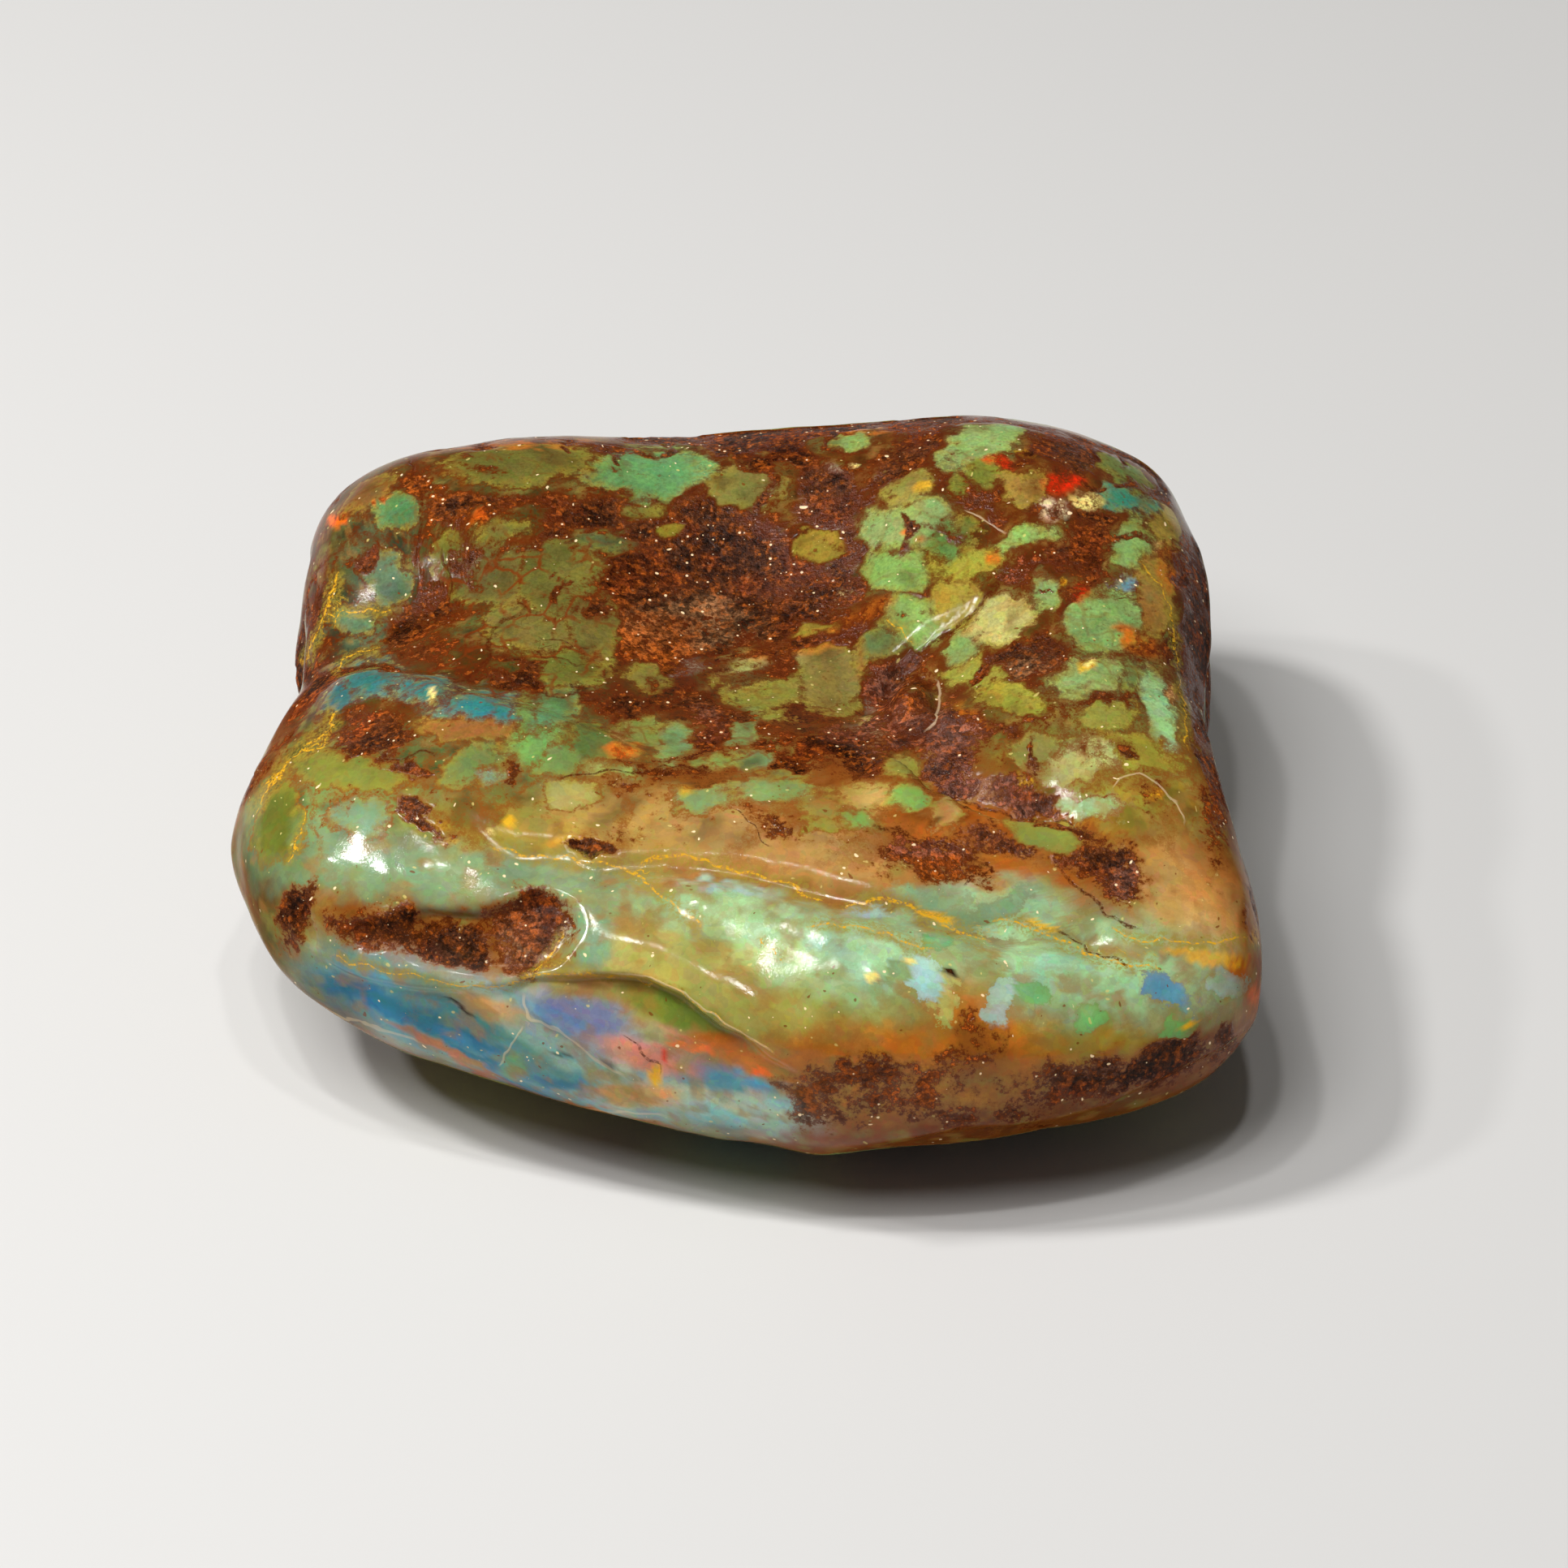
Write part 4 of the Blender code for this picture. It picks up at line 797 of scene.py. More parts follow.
skinTones = {
    "sway": (9.0, 8.0),     # how far edges wander, in pixels: the wider bends, then the finer
    "patchSize": 2.2,       # size of the patches on the hidden sides, mm
    "drift": 0.3,           # light and dark clouds in the gem
    "warmth": 0.12,         # warm and cool clouds in the gem
    "stroke": (-0.6, 0.0, 0.35),    # how the strokes of the chipped face change red, green and blue
    "mottle": 0.55,         # how dark the ground's dark flecks are
    "backShade": 0.66,      # painted shade: how light the colours at the back are beside those at the front
    "backGroundShade": 0.36,      # painted shade: how much darker the ground between the pieces is at the back
    "gain": 1.0,            # overall lightness of the gem
    "rimGlowBrown": 0.6,        # how brown the thin line round the rim is: partly the brown side walls, partly painted glow of light through the thin edges
    "crustRough": 0.95,     # unevenness of the crust's edge
    "crustFloor": -0.9,     # the crust field where nothing raises it; above 0 lies crust
    "crustSpread": 1.32,    # how far the marks raise it
    "crustFill": 1.45,      # and the gaps between the pieces at the back
    "crustVein": 1.2,       # and the veins there
    "crustOffGem": 1.3,     # how far the pieces lower it
    "crustOffChip": 2.0,    # and the chipped face
    "crustOffFront": 0.8,   # and the front, between the marks
    "streaks": 1.0,         # light and dark streaks in the crust
    "crustSink": 0.06,      # how far the crust lies below the polish, mm
    "crustGrain": 0.04,     # unevenness of its surface, mm
    "ripple": 0.014,        # unevenness of the polish, mm
    "knobHeight": 0.12,     # the knob's own swelling, mm
    "knobGroove": 0.16,     # the groove round it, mm
    "dimPolish": 1.7,       # how much polish the places of painted shade lose
}
# Rows of the picture over which each thing changes from the back of the stone to its front or back again.
rows = {
    "shade": (820, 1080), "warmEdges": (840, 990), "mottle": (980, 1080), "rustEdges": (1010, 1090),
    "groundShade": (1010, 900), "crustVein": (1010, 900), "crustFill": (1000, 900), "crustOff": (1020, 1080),
}
columns = {"shade": (1000, 1120)}
# Places on the chipped face and at the knob, as ovals.
chippedFace = [(640, 1290, 300, 62, 20), (900, 1350, 110, 40)]
chipCore = (690, 1290, 300, 60, 18)
blueBand = (520, 855, 150, 34, 6)
knobOval = (1123, 868, 30, 36, 0)
# Uneven fields over the skin: size in millimetres, seed and layers, then where a patch starts and is full.
fields = {
    "sway": (1.3, 201, 3), "warm": (1.6, 511, 3), "drift": (1.8, 501, 4), "stroke": (13.0, 641, 3),
    "vein": (2.4, 651, 2), "hiddenCrust": (6.0, 91, 3), "crustEdge": (1.6, 301, 4), "streaks": (2.6, 611, 4),
    "crustGrain": (0.8, 401, 3), "bent": (0.9, 571, 3), "thread": (5.0, 581, 4),
}
patches = {
    "hiddenSage": (7.0, 15, 3, -0.2, 0.3), "mottle": (1.1, 515, 4, -0.1, 0.5), "flecked": (0.8, 671, 2, -0.65, -0.2),
    "tan": (0.9, 541, 4, 0.15, 0.4), "sage": (1.2, 531, 4, 0.3, 0.55), "rimGlowLine": (2.5, 77, 3, -0.2, 0.4),
    "vein": (3.5, 661, 3, -0.25, 0.15), "rustyCrust": (1.4, 551, 3, 0, 0.4), "hiddenNet": (7, 95, 3, -0.1, 0.5),
    "net": (1.1, 561, 3, -0.25, 0.15), "thread": (6.0, 591, 3, 0.0, 0.35), "blurred": (2.2, 621, 3, -0.1, 0.6),
    "window": (1.1, 631, 4, 0.05, 0.6),
}


# One of the uneven fields, over the skin or over other places.
def fieldOver(name, step=0, places=None):
    size, seed, layers = fields[name]
    return layered(skin if places is None else places, size, seed + step, layers)


# The same as patches: 0 before the start, 1 past the end.
def patchOver(name):
    size, seed, layers, start, end = patches[name]
    return smooth(start, end, layered(skin, size, seed, layers))


# The same colour, or none, all over the skin.
def plain(name=None):
    return np.zeros_like(skin) + (linearColour(name) if name else 0)


# Moves each colour towards another by its share: colour + share * (other - colour).
def towards(colour, share, other):
    return colour + share[:, None] * (other - colour)


normals = vertexNormals(skin, quads)
picture, facing = intoPicture(skin, normals)
column, row = picture.T
sight = eye - skin
broadFacing = (directions * sight).sum(1) / np.linalg.norm(sight, axis=1)
seen = np.maximum(smooth(0.0, 0.18, facing), smooth(0.3, 0.5, broadFacing))
wide, narrow = skinTones["sway"]
sway = np.stack([wide * fieldOver("sway", k) + narrow * noise(*skin.T, 0.45, 221 + k) for k in range(2)], 1)
swayed = picture + sway
unseen = -1e4 * (seen < 0.5)[:, None]

# what the camera sees: soft ground, strokes and pieces, then patches of the same colours on the other sides
ground = layOn(plain("amberBrown"), picture + 1.5 * sway, broadTones, 0.6)
ground = layOn(ground, picture + 0.7 * sway + unseen, veils, 0.45)
depth, gap, pieceTint = mosaic(swayed, pieces)
centres = cellCentres(skin + 0.02 * np.pad(sway, ((0, 0), (0, 1))), skinTones["patchSize"], 5)
hiddenGround = towards(plain("amberBrown"), patchOver("hiddenSage"), linearColour("sage"))
hiddenDepth = np.full(len(skin), -0.5)
hiddenTint = hiddenGround.copy()
for name, (size, seed, rare) in hiddenTones.items():
    own = (layered(centres, size, seed) - rare) * 1.5
    hiddenTint = np.where((own > hiddenDepth)[:, None], linearColour(name), hiddenTint)
    hiddenDepth = np.maximum(hiddenDepth, own)
ground = towards(hiddenGround, seen, ground)
pieceTint = np.where((seen > 0.5)[:, None], pieceTint, hiddenTint)
depth = np.where(seen > 0.5, depth, hiddenDepth)
gap = np.where(seen > 0.5, gap, 1)

# painted light and shade over them, darker at the back and in the dim places, with light and dark clouds, warm and
# cool, and long strokes on the chipped face
warm = skinTones["warmth"] * fieldOver("warm")
shade = skinTones["gain"] * (1 + skinTones["drift"] * fieldOver("drift"))
# painted shade: the colours darken towards the back of the stone, less so on its right
forward = np.maximum(smooth(*rows["shade"], row), 0.8 * smooth(*columns["shade"], column))
shade = shade * (skinTones["backShade"] + (1 - skinTones["backShade"]) * forward)
# painted shade on the darker places of the table above
paintedShadeHere = strongest(picture, paintedShadeMarks, 0.7)
shade = shade * (1 - paintedShadeHere * seen)
lighten = shade[:, None] * np.stack([1 + warm, 1 + 0 * warm, 1 - 1.5 * warm], 1)
facet = strongest(picture, chippedFace, 0.4) * seen
flow = picture @ np.array([[0.18, -0.42], [0.084, 0.9]])    # along the strokes, then across them
stroke = fieldOver("stroke", places=np.column_stack([flow, 0 * facet]))
lighten = lighten * (1 + facet[:, None] * stroke[:, None] * np.array(skinTones["stroke"]))
ground = ground * lighten
pieceTint = pieceTint * lighten

# painted shade on the ground at the back, then dark flecks and soft spots of tan and sage in the ground
ground = ground * (1 - skinTones["backGroundShade"] * seen * smooth(*rows["groundShade"], row))[:, None]
mottle = 1 - skinTones["mottle"] * (1 - seen * smooth(*rows["mottle"], row)) * patchOver("mottle")
ground = ground * mottle[:, None]
for name, most in (("tan", 0.5), ("sage", 0.45)):
    ground = towards(ground, most * patchOver(name) * (1 - smooth(0, 0.2, depth)), linearColour(name) * 0.9)

# the brightest and darkest touches, then a brown line along the rim as the camera sees it, partly the brown side
# walls and partly painted glow through the thin edges
touched = picture + 0.5 * sway + unseen
flecked = patchOver("flecked")[:, None]
bright = layOn(plain(), touched, touches, 0.3) * flecked
brightShare = layOn(plain(), touched, [("white", ovals) for name, ovals in touches], 0.3) * flecked
ground = ground * (1 - brightShare) + bright
pieceTint = pieceTint * (1 - brightShare) + bright
# painted rim glow: a line where the skin turns away from the camera, mixed with the brown of the side walls
rimGlowLine = smooth(0.02, 0.1, facing) * smooth(0.32, 0.12, facing) * (0.35 + 0.65 * patchOver("rimGlowLine"))
rimGlowLine = rimGlowLine * smooth(0.5, 0.3, broadFacing)
ground = towards(ground, skinTones["rimGlowBrown"] * rimGlowLine, linearColour("amberBrown"))
depth = depth - 2.5 * rimGlowLine * (seen > 0.5)

# where the crust lies: on its marks, between the pieces at the back and in veins there, and off the gem
spread = np.zeros(len(skin))
for x, y, rx, ry, turn, strength in crustMarks:
    away = ovalDistance(*swayed.T, x, y, rx, ry, turn)
    spread = np.maximum(spread, skinTones["crustSpread"] * strength * smooth(1.75, 0.35, away))
floor = skinTones["crustFloor"]
crustField = floor + spread - skinTones["crustOffFront"] * smooth(*rows["crustOff"], row) * smooth(0.4, 0, spread)
crustField = crustField - skinTones["crustOffGem"] * smooth(-0.1, 0.25, depth)
crustField = crustField - skinTones["crustOffChip"] * ovalMask(picture, chipCore, 0.15)
fill = smooth(0.02, 0.5, -depth) * smooth(*rows["crustFill"], row) * (1 - strongest(picture, clearGround, 0.4))
crustField = np.where(fill > 0, np.maximum(crustField, floor + skinTones["crustFill"] * fill), crustField)
vein = smooth(0.16, 0.03, np.abs(fieldOver("vein"))) * patchOver("vein") * smooth(*rows["crustVein"], row)
vein = vein * (1 - ovalMask(picture, blueBand, 0.2))
crustField = np.where(vein > 0, np.maximum(crustField, floor + skinTones["crustVein"] * vein), crustField)
hiddenCrust = 1.3 * fieldOver("hiddenCrust") + 0.25 * smooth(6, 1, skin[:, 2]) - 0.1
crustField = hiddenCrust + seen * (crustField - hiddenCrust) + skinTones["crustRough"] * fieldOver("crustEdge")
crustTint = layOn(plain("chestnut"), swayed + unseen, crustTones, 0.4)
crustTint = towards(crustTint, 0.5 * patchOver("rustyCrust"), linearColour("rust") * 0.8)
along = np.stack([0.78 * skin[:, 0] + 0.63 * skin[:, 1], 3 * (0.78 * skin[:, 1] - 0.63 * skin[:, 0]), skin[:, 2]], 1)
crustTint = crustTint * (1 + skinTones["streaks"] * fieldOver("streaks", places=along).clip(-0.7, 1))[:, None]

# low relief: the sunken crust, the knob's ring and the spots that catch the lamps
relief = -skinTones["crustSink"] * smooth(-0.1, 0.35, crustField)
relief = relief + skinTones["crustGrain"] * fieldOver("crustGrain") * smooth(0, 0.5, crustField)
relief = relief + skinTones["ripple"] * noise(*skin.T, 0.95, 411)
knobShare = ovalDistance(*picture.T, *knobOval)
ring = skinTones["knobGroove"] * np.exp(-((knobShare - 1.1) / 0.22) ** 2)
relief = relief + seen * (skinTones["knobHeight"] * smooth(1, 0, knobShare) - ring)
for x, y, radius, height in lightBeads:
    relief = relief + height * seen * np.exp(-((picture - np.array([x, y])) ** 2).sum(1) / radius**2)
skin = skin + relief[:, None] * normals
skin[:, 2] = np.maximum(skin[:, 2], 0)
print("colours laid on the skin")

mesh = bpy.data.meshes.new("polished_stone")
mesh.vertices.add(len(skin))
mesh.vertices.foreach_set("co", (skin * mm).ravel())
mesh.loops.add(quads.size)
mesh.loops.foreach_set("vertex_index", quads.ravel().astype(np.int32))
mesh.polygons.add(len(quads))
mesh.polygons.foreach_set("loop_start", np.arange(0, quads.size, 4, dtype=np.int32))
mesh.polygons.foreach_set("use_smooth", np.ones(len(quads), dtype=bool))
mesh.update(calc_edges=True)
mesh.validate()


# Writes one value for each vertex into the mesh, as a vector or as a linear colour.
def storeOnSkin(name, kind, values):
    layer = mesh.attributes.new(name, kind, "POINT")
    if kind == "FLOAT_COLOR":
        layer.data.foreach_set("color", np.column_stack([values, np.ones(len(values))]).astype(np.float32).ravel())
    else:
        layer.data.foreach_set("vector", np.asarray(values, np.float32).ravel())


# painted glow: where the gem's colour is given off as light
paintedGlow = strongest(picture, paintedGlowMarks, 0.5) * seen
net = strongest(picture, netMarks, 0.5) * seen + (1 - seen) * patchOver("hiddenNet")
net = net * patchOver("net")
bent = skin + 0.35 * np.stack([fieldOver("bent", k) for k in range(3)], 1)
thread = fieldOver("thread")
threadHere = patchOver("thread") * (1 - seen)
lineShow = np.array([1, 0, 1])[None, :] + seen[:, None] * np.array([0, 1, 0])[None, :]
rustEdges = 1 - 0.75 * seen * smooth(*rows["rustEdges"], row)
warmEdges = 1 - 0.75 * smooth(*rows["warmEdges"], row) * seen
blurred = 0.04 + 0.3 * patchOver("blurred")
window = 1 - 0.55 * patchOver("window")
polish = (1 - skinTones["dimPolish"] * paintedShadeHere * seen).clip(0.1, 1) * (1 - strongest(picture, mattMarks, 0.4) * seen)
storeOnSkin("groundTint", "FLOAT_COLOR", ground)
storeOnSkin("pieceTint", "FLOAT_COLOR", pieceTint)
storeOnSkin("pieceEdge", "FLOAT_VECTOR", np.stack([depth.clip(-2, 2), gap.clip(0, 2), rustEdges], 1))
storeOnSkin("polishShare", "FLOAT_VECTOR", np.repeat(polish[:, None], 3, 1))
storeOnSkin("pieceBlend", "FLOAT_VECTOR", np.stack([blurred, window, warmEdges], 1))
storeOnSkin("crustTint", "FLOAT_COLOR", crustTint)
storeOnSkin("skinFields", "FLOAT_VECTOR", np.stack([crustField, net, paintedGlow], 1))
storeOnSkin("bentPlace", "FLOAT_VECTOR", bent)
storeOnSkin("threadLine", "FLOAT_VECTOR", np.stack([thread, threadHere, 0.02 + 0 * thread], 1))
for name, lines, bend in (("goldLine", goldLines, 0.6), ("darkLine", darkLines, 0.7), ("paleLineAndGlint", paleLinesAndGlints, 0.3)):
    storeOnSkin(name, "FLOAT_VECTOR", lineField(picture + bend * sway, lines) * lineShow)
stone = bpy.data.objects.new("polished_stone", mesh)
bpy.context.scene.collection.objects.link(stone)
print("stone built", len(mesh.polygons) * 2, "triangles")


# Adds a node and fills its inputs, by name or number, with a value or with another node's output.
def addNode(tree, kind, inputs=None, **settings):
    node = tree.nodes.new(kind)
    for name, value in settings.items():
        setattr(node, name, value)
    for key, value in (inputs or {}).items():
        if isinstance(value, bpy.types.NodeSocket):
            tree.links.new(value, node.inputs[key])
        else:
            node.inputs[key].default_value = value
    return node


def calc(tree, operation, a, b=0.0, c=0.0):
    return addNode(tree, "ShaderNodeMath", {0: a, 1: b, 2: c}, operation=operation).outputs[0]


def times(tree, a, b):
    return calc(tree, "MULTIPLY", a, b)


def plus(tree, a, b):
    return calc(tree, "ADD", a, b)


def minus(tree, a, b):
    return calc(tree, "SUBTRACT", a, b)


def rise(tree, value, start, end, low=0.0, high=1.0):
    inputs = {"Value": value, "From Min": start, "From Max": end, "To Min": low, "To Max": high}
    return addNode(tree, "ShaderNodeMapRange", inputs, interpolation_type="SMOOTHSTEP").outputs[0]


def blendColour(tree, share, a, b, mode="MIX"):
    node = addNode(tree, "ShaderNodeMix", {0: share, 6: a, 7: b}, data_type="RGBA", blend_type=mode)
    return node.outputs[2]


def cloud(tree, place, scale, detail, roughness):
    inputs = {"Vector": place, "Scale": scale, "Detail": detail, "Roughness": roughness}
    return addNode(tree, "ShaderNodeTexNoise", inputs).outputs[0]


def vectorScale(tree, vector, scale):
    return addNode(tree, "ShaderNodeVectorMath", {0: vector, "Scale": scale}, operation="SCALE").outputs[0]


def readSkin(tree, name):
    return addNode(tree, "ShaderNodeAttribute", attribute_name=name)


# The three values that one of the skin's attributes holds.
def splitSkin(tree, name):
    parts = addNode(tree, "ShaderNodeSeparateXYZ", {0: readSkin(tree, name).outputs["Vector"]})
    return parts.outputs[0], parts.outputs[1], parts.outputs[2]


def tone(name, gain=1.0):
    return (*[float(c) * gain for c in linearColour(name)], 1.0)


# A line from its signed distance: 1 within its width, fading over as much again, where it shows.
def drawnLine(tree, name, thick=1.0):
    signed, show, width = splitSkin(tree, name)
    away = calc(tree, "DIVIDE", calc(tree, "ABSOLUTE", signed), times(tree, width, 0.5 * thick))
    return times(tree, rise(tree, away, 1.5, 0.6), show)


# Tiny round specks of three kinds in the cells of an uneven lattice: a cell's own random value picks its kind.
def speckGroup():
    group = bpy.data.node_groups.new("scatteredSpecks", "ShaderNodeTree")
    for name, kind in (("Place", "NodeSocketVector"), ("Per mm", "NodeSocketFloat"), ("Share", "NodeSocketFloat"),
                       ("Radius", "NodeSocketFloat")):
        group.interface.new_socket(name=name, in_out="INPUT", socket_type=kind)
    for name in ("First", "Second", "Third"):
        group.interface.new_socket(name=name, in_out="OUTPUT", socket_type="NodeSocketFloat")
    group.interface.new_socket(name="Grain", in_out="OUTPUT", socket_type="NodeSocketColor")
    start = group.nodes.new("NodeGroupInput")
    finish = group.nodes.new("NodeGroupOutput")
    inputs = {"Vector": start.outputs["Place"], "Scale": start.outputs["Per mm"]}
    cells = addNode(group, "ShaderNodeTexVoronoi", inputs)
    random = addNode(group, "ShaderNodeSeparateColor", {0: cells.outputs["Color"]})
    size = plus(group, times(group, start.outputs["Radius"], random.outputs[1]), 0.04)
    spot = rise(group, calc(group, "DIVIDE", cells.outputs["Distance"], size), 1.1, 0.7)
    kind = calc(group, "DIVIDE", random.outputs[0], start.outputs["Share"])
    for step, name in enumerate(("First", "Second", "Third")):
        kept = calc(group, "COMPARE", kind, step + 0.5, 0.5)
        group.links.new(times(group, kept, spot), finish.inputs[name])
    group.links.new(cells.outputs["Color"], finish.inputs["Grain"])
    return group


specks = speckGroup()


def scatter(tree, place, perMm, share, radius):
    inputs = {"Place": place, "Per mm": perMm, "Share": share, "Radius": radius}
    return addNode(tree, "ShaderNodeGroup", inputs, node_tree=specks).outputs


stoneFinish = {
    # noises over the skin: how many to a millimetre, detail and roughness
    "fine": (7.0, 3.0, 0.7), "grit": (2.4, 4.0, 0.7), "pits": (4.5, 3.0, 0.75),
    # specks: how many to a millimetre, share of each kind and radius
    "small": (3.2, 0.08, 0.24), "coarse": (4.6, 0.12, 0.3),
    # how strongly each thing colours the gem
    "grains": 0.1, "stains": 0.55, "net": 0.8, "threads": 0.7, "rustSpecks": 0.75, "goldSpecks": 0.5,
    # and the crust and the whole skin
    "taupeSpecks": 0.6, "orangeSpecks": 0.7, "margin": 0.65, "rind": 0.85, "paleLinesAndGlints": 0.35, "dustAndGlints": 0.85,
    # painted glow of the gem, then painted glints on the dust specks, both given off as light
    "paintedGlow": 0.12, "paintedGlint": 0.2,
    # roughness and coat of the gem, then what the crust adds and takes away
    "roughness": 0.2, "crustRoughness": 0.3, "coat": 0.85, "crustCoat": 0.5,
    # height of the bumps: grit, dark lines and pale lines beside the crust's pits
    "gritHeight": 0.05, "darkHeight": 0.12, "paleHeight": 0.1, "bumpStrength": 0.8, "bumpDepth": 0.12 * mm,
    "sockets": {
        "Emission Strength": 1.0, "Coat Roughness": 0.13, "Coat IOR": 1.4, "IOR": 1.54, "Specular IOR Level": 0.0,
        "Subsurface Weight": 0.15, "Subsurface Radius": (2.5, 1.0, 0.4), "Subsurface Scale": mm,
    },
}


def stoneMaterial(finish):
    material = bpy.data.materials.new("mottledAmber")
    material.use_nodes = True
    tree = material.node_tree
    shader = tree.nodes["Principled BSDF"]
    place = vectorScale(tree, addNode(tree, "ShaderNodeTexCoord").outputs["Object"], 1 / mm)
    bentPlace = readSkin(tree, "bentPlace").outputs["Vector"]
    crustColour = readSkin(tree, "crustTint").outputs["Color"]
    crustRaw, netHere, paintedGlowHere = splitSkin(tree, "skinFields")
    inset, gap, rustEdges = splitSkin(tree, "pieceEdge")

    # pieces of the mosaic over the ground, with finely broken, rusty edges
    fine = cloud(tree, place, *finish["fine"])
    grit = cloud(tree, place, *finish["grit"])
    stray = plus(tree, times(tree, minus(tree, grit, 0.5), 0.7), times(tree, minus(tree, fine, 0.5), 0.4))
    inward = plus(tree, inset, stray)
    blurred, window, warmEdges = splitSkin(tree, "pieceBlend")
    inside = rise(tree, calc(tree, "DIVIDE", inward, blurred), -1.0, 1.0)
    polish = readSkin(tree, "polishShare").outputs["Fac"]
    gem = blendColour(tree, times(tree, inside, window), readSkin(tree, "groundTint").outputs["Color"],
                      readSkin(tree, "pieceTint").outputs["Color"])
    warmEdge = times(tree, rise(tree, inward, 0.55, 0.0), rise(tree, grit, 0.4, 0.6, 0.1, 0.8))
    gem = blendColour(tree, times(tree, times(tree, warmEdge, inside), rustEdges), gem, tone("mustard", 0.8))
    border = calc(tree, "MINIMUM", calc(tree, "ABSOLUTE", inward), plus(tree, gap, stray))
    border = times(tree, rise(tree, border, 0.16, 0.02), rustEdges)

    # the cloudy gem: a faint mosaic of grains, rusty stains and specks
    small = scatter(tree, bentPlace, *finish["small"])
    grainTone = blendColour(tree, finish["grains"], (1, 1, 1, 1), vectorScale(tree, small["Grain"], 2.0))
    gem = blendColour(tree, 1.0, gem, grainTone, "MULTIPLY")
    cloudy = blendColour(tree, rise(tree, fine, 0.3, 0.7), (0.8, 0.82, 0.81, 1), (1.18, 1.16, 1.14, 1))
    cloudy = blendColour(tree, warmEdges, (1, 1, 1, 1), cloudy)
    gem = blendColour(tree, 1.0, gem, cloudy, "MULTIPLY")
    stain = times(tree, times(tree, rise(tree, grit, 0.56, 0.7), warmEdges), finish["stains"])
    stain = calc(tree, "MAXIMUM", stain, times(tree, border, rise(tree, fine, 0.36, 0.54, 0.25, 0.85)))
    rustTone = blendColour(tree, warmEdges, tone("amberBrown", 1.25), tone("rust", 0.6))
    gem = blendColour(tree, stain, gem, rustTone)

    # the net of fine rusty lines between grains, and thin threads of gold on the hidden sides
    cells = addNode(tree, "ShaderNodeTexVoronoi", {"Vector": bentPlace, "Scale": 0.8}, feature="DISTANCE_TO_EDGE")
    net = times(tree, rise(tree, cells.outputs["Distance"], 0.1, 0.02), netHere)
    gem = blendColour(tree, times(tree, net, finish["net"]), gem, tone("rust"))
    gem = blendColour(tree, times(tree, drawnLine(tree, "threadLine"), finish["threads"]), gem, tone("gold", 0.7))
    gem = blendColour(tree, times(tree, small["First"], finish["rustSpecks"]), gem, tone("rust"))
    gem = blendColour(tree, times(tree, small["Second"], finish["goldSpecks"]), gem, tone("paleGold", 0.8))

    # the crust: its edge broken by fine grain, orange at the margin, dark inside
    reach = plus(tree, crustRaw, times(tree, minus(tree, grit, 0.5), 3.2))
    reach = plus(tree, reach, times(tree, minus(tree, fine, 0.5), 1.4))
    margin = rise(tree, reach, -0.6, 0.0)
    rind = rise(tree, reach, -0.1, 0.15)
    deep = rise(tree, reach, 0.1, 0.5)
    coarse = scatter(tree, place, *finish["coarse"])
    grain = addNode(tree, "ShaderNodeSeparateColor", {0: coarse["Grain"]}).outputs[1]
    crustColour = blendColour(tree, rise(tree, grit, 0.48, 0.64, 0.0, 0.5), crustColour, tone("russet"))
    crustColour = blendColour(tree, rise(tree, grit, 0.5, 0.36, 0.0, 0.8), crustColour, tone("darkUmber"))
    lightness = times(tree, rise(tree, fine, 0.32, 0.68, 0.5, 1.6), rise(tree, grain, 0.0, 1.0, 0.5, 1.7))
    crustColour = vectorScale(tree, crustColour, lightness)
    taupe = times(tree, coarse["First"], finish["taupeSpecks"])
    crustColour = blendColour(tree, taupe, crustColour, tone("taupe"))
    orange = times(tree, coarse["Second"], finish["orangeSpecks"])
    crustColour = blendColour(tree, orange, crustColour, tone("amberOrange", 0.7))
    skinColour = blendColour(tree, times(tree, margin, finish["margin"]), gem, rustTone)
    skinColour = blendColour(tree, times(tree, rind, finish["rind"]), skinColour, tone("rust", 0.6))
    skinColour = blendColour(tree, deep, skinColour, crustColour)

    # lines drawn from the skin's own distances
    halo = times(tree, drawnLine(tree, "goldLine", 4.5), rise(tree, fine, 0.42, 0.6, 0.1, 0.7))
    skinColour = blendColour(tree, halo, skinColour, tone("mustard", 0.8))
    gold = times(tree, drawnLine(tree, "goldLine", 0.6), rise(tree, fine, 0.42, 0.58, 0.05, 0.9))
    skinColour = blendColour(tree, gold, skinColour, tone("gold", 0.85))
    dark = drawnLine(tree, "darkLine", 0.8)
    darkShare = times(tree, dark, rise(tree, fine, 0.38, 0.6, 0.15, 0.9))
    skinColour = blendColour(tree, darkShare, skinColour, tone("rust", 0.4))
    # pale lines, partly painted glints
    pale = drawnLine(tree, "paleLineAndGlint", 0.8)
    skinColour = blendColour(tree, times(tree, pale, finish["paleLinesAndGlints"]), skinColour, tone("cream"))

    # dust specks, partly painted glints, and a painted inner glow, given off as light
    dustAndGlints = calc(tree, "MAXIMUM", small["Third"], times(tree, coarse["Third"], deep))
    skinColour = blendColour(tree, times(tree, dustAndGlints, finish["dustAndGlints"]), skinColour, tone("cream"))
    tree.links.new(skinColour, shader.inputs["Base Color"])
    litGem = vectorScale(tree, gem, times(tree, paintedGlowHere, finish["paintedGlow"]))
    # painted glints given off as light on the dust specks
    glints = vectorScale(tree, tone("cream")[:3], times(tree, dustAndGlints, finish["paintedGlint"]))
    glowing = addNode(tree, "ShaderNodeVectorMath", {0: litGem, 1: glints}, operation="ADD").outputs[0]
    tree.links.new(glowing, shader.inputs["Emission Color"])

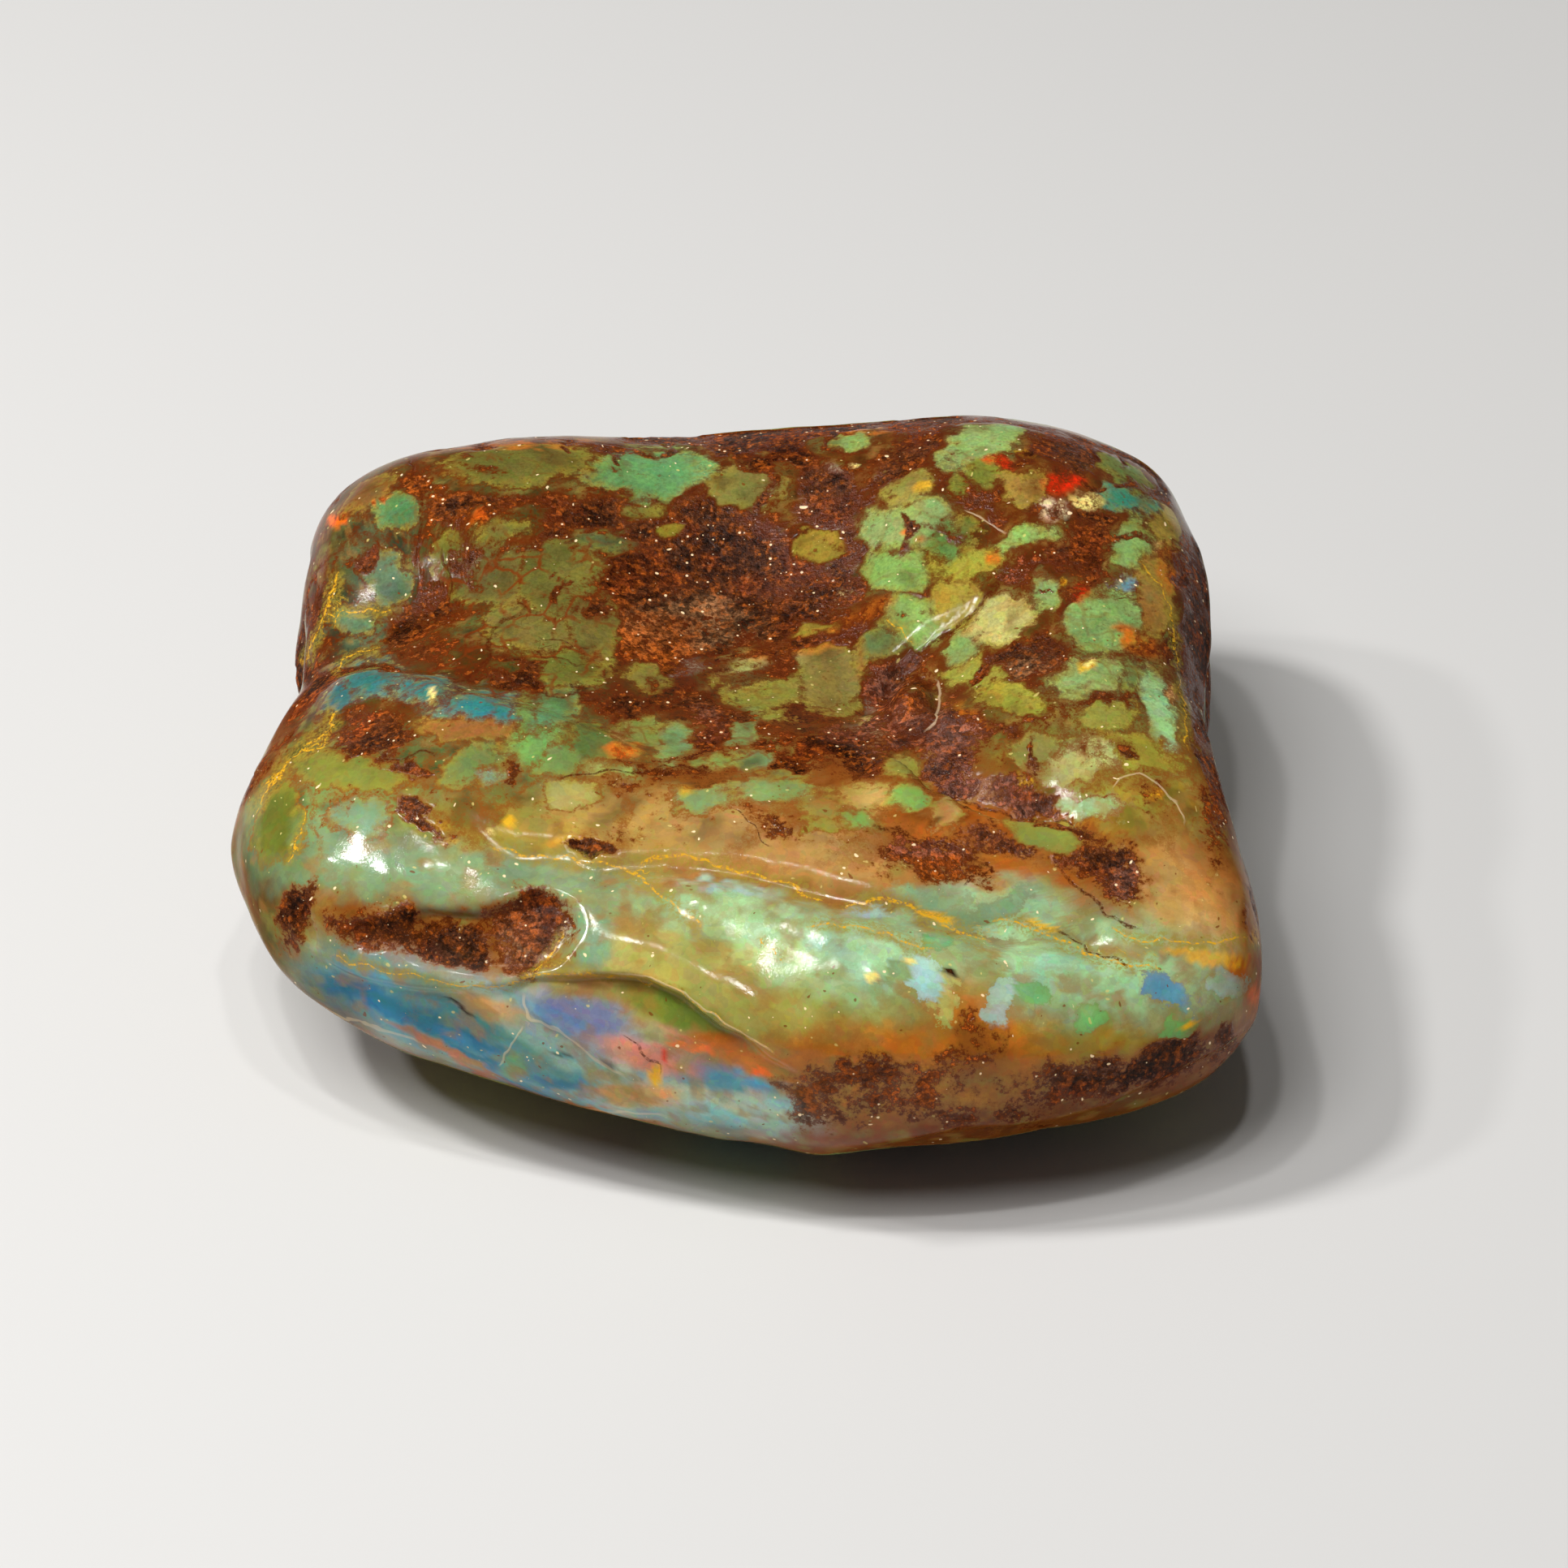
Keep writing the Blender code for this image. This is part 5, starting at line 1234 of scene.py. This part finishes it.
    # roughness, coat and bump: the crust is matt and pitted
    roughness = plus(tree, times(tree, deep, finish["crustRoughness"]), finish["roughness"])
    tree.links.new(roughness, shader.inputs["Roughness"])
    coat = minus(tree, finish["coat"], times(tree, deep, finish["crustCoat"]))
    tree.links.new(times(tree, coat, polish), shader.inputs["Coat Weight"])
    for name, value in finish["sockets"].items():
        shader.inputs[name].default_value = value
    pits = times(tree, cloud(tree, place, *finish["pits"]), rise(tree, crustRaw, -0.3, 0.4, 0.05, 1.0))
    height = plus(tree, pits, times(tree, grit, finish["gritHeight"]))
    height = minus(tree, height, times(tree, dark, finish["darkHeight"]))
    height = plus(tree, height, times(tree, pale, finish["paleHeight"]))
    bump = addNode(tree, "ShaderNodeBump", {"Height": height, "Strength": finish["bumpStrength"],
                                            "Distance": finish["bumpDepth"]})
    tree.links.new(bump.outputs[0], shader.inputs["Normal"])
    tree.links.new(bump.outputs[0], shader.inputs["Coat Normal"])
    return material




mesh.materials.append(stoneMaterial(stoneFinish))
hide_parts("amber_stone")
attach(stone, "root")
print("stone dressed")

# The table that the stone lies on and the light in the room. Places are in millimetres, power in watts.
room = {
    "floorSize": 1600,
    "floorColour": (0.62, 0.61, 0.595, 1.0),
    "floorRoughness": 0.7,
    "aim": (0, 0, 8),    # where the lamps point
    # place, width and power of a soft disk that the polish doesn't mirror, then of the lamps that it does
    "soft": ((-110, -100, 330), 170, 0.52),
    "lamps": {"left": ((-205, 8, 305), 42, 0.66), "outer": ((-262, -10, 258), 26, 0.25),
              "middle": ((-98, -8, 349), 22, 0.18), "inner": ((-34, -66, 354), 18, 0.12),
              "right": ((28, -58, 358), 20, 0.14)},
    "world": (0.8, 0.79, 0.76, 1.0),
    "worldStrength": 0.1,
}


# The floor is a flat grid, z = 0 over x and y.
def makeFloor():
    line = np.linspace(-0.5, 0.5, 9) * room["floorSize"] * mm
    x, y = np.meshgrid(line, line, indexing="ij")
    corner = (np.arange(8)[:, None] * 9 + np.arange(8)[None, :]).ravel()
    faces = np.stack([corner, corner + 9, corner + 10, corner + 1], 1)
    floorMesh = bpy.data.meshes.new("table_top")
    floorMesh.from_pydata(np.stack([x.ravel(), y.ravel(), 0 * x.ravel()], 1).tolist(), [], faces.tolist())
    floor = bpy.data.objects.new("table_top", floorMesh)
    bpy.context.scene.collection.objects.link(floor)
    material = bpy.data.materials.new("paleTable")
    material.use_nodes = True
    shader = material.node_tree.nodes["Principled BSDF"]
    shader.inputs["Base Color"].default_value = room["floorColour"]
    shader.inputs["Roughness"].default_value = room["floorRoughness"]
    floorMesh.materials.append(material)


def addLight(name, place, size, power):
    light = bpy.data.lights.new(name, "AREA")
    light.shape = "DISK"
    light.size = size * mm
    light.energy = power
    holder = bpy.data.objects.new(name, light)
    bpy.context.scene.collection.objects.link(holder)
    holder.location = Vector(place) * mm
    holder.rotation_euler = (Vector(room["aim"]) * mm - holder.location).to_track_quat("-Z", "Y").to_euler()
    return holder


makeFloor()
addLight("lamp_soft", *room["soft"]).visible_glossy = False
for side, (place, size, power) in room["lamps"].items():
    addLight("lamp_" + side, place, size, power)
world = bpy.data.worlds.new("room")
world.use_nodes = True
world.node_tree.nodes["Background"].inputs["Color"].default_value = room["world"]
world.node_tree.nodes["Background"].inputs["Strength"].default_value = room["worldStrength"]
bpy.context.scene.world = world
bpy.context.scene.view_settings.view_transform = "Standard"
print("room lit")
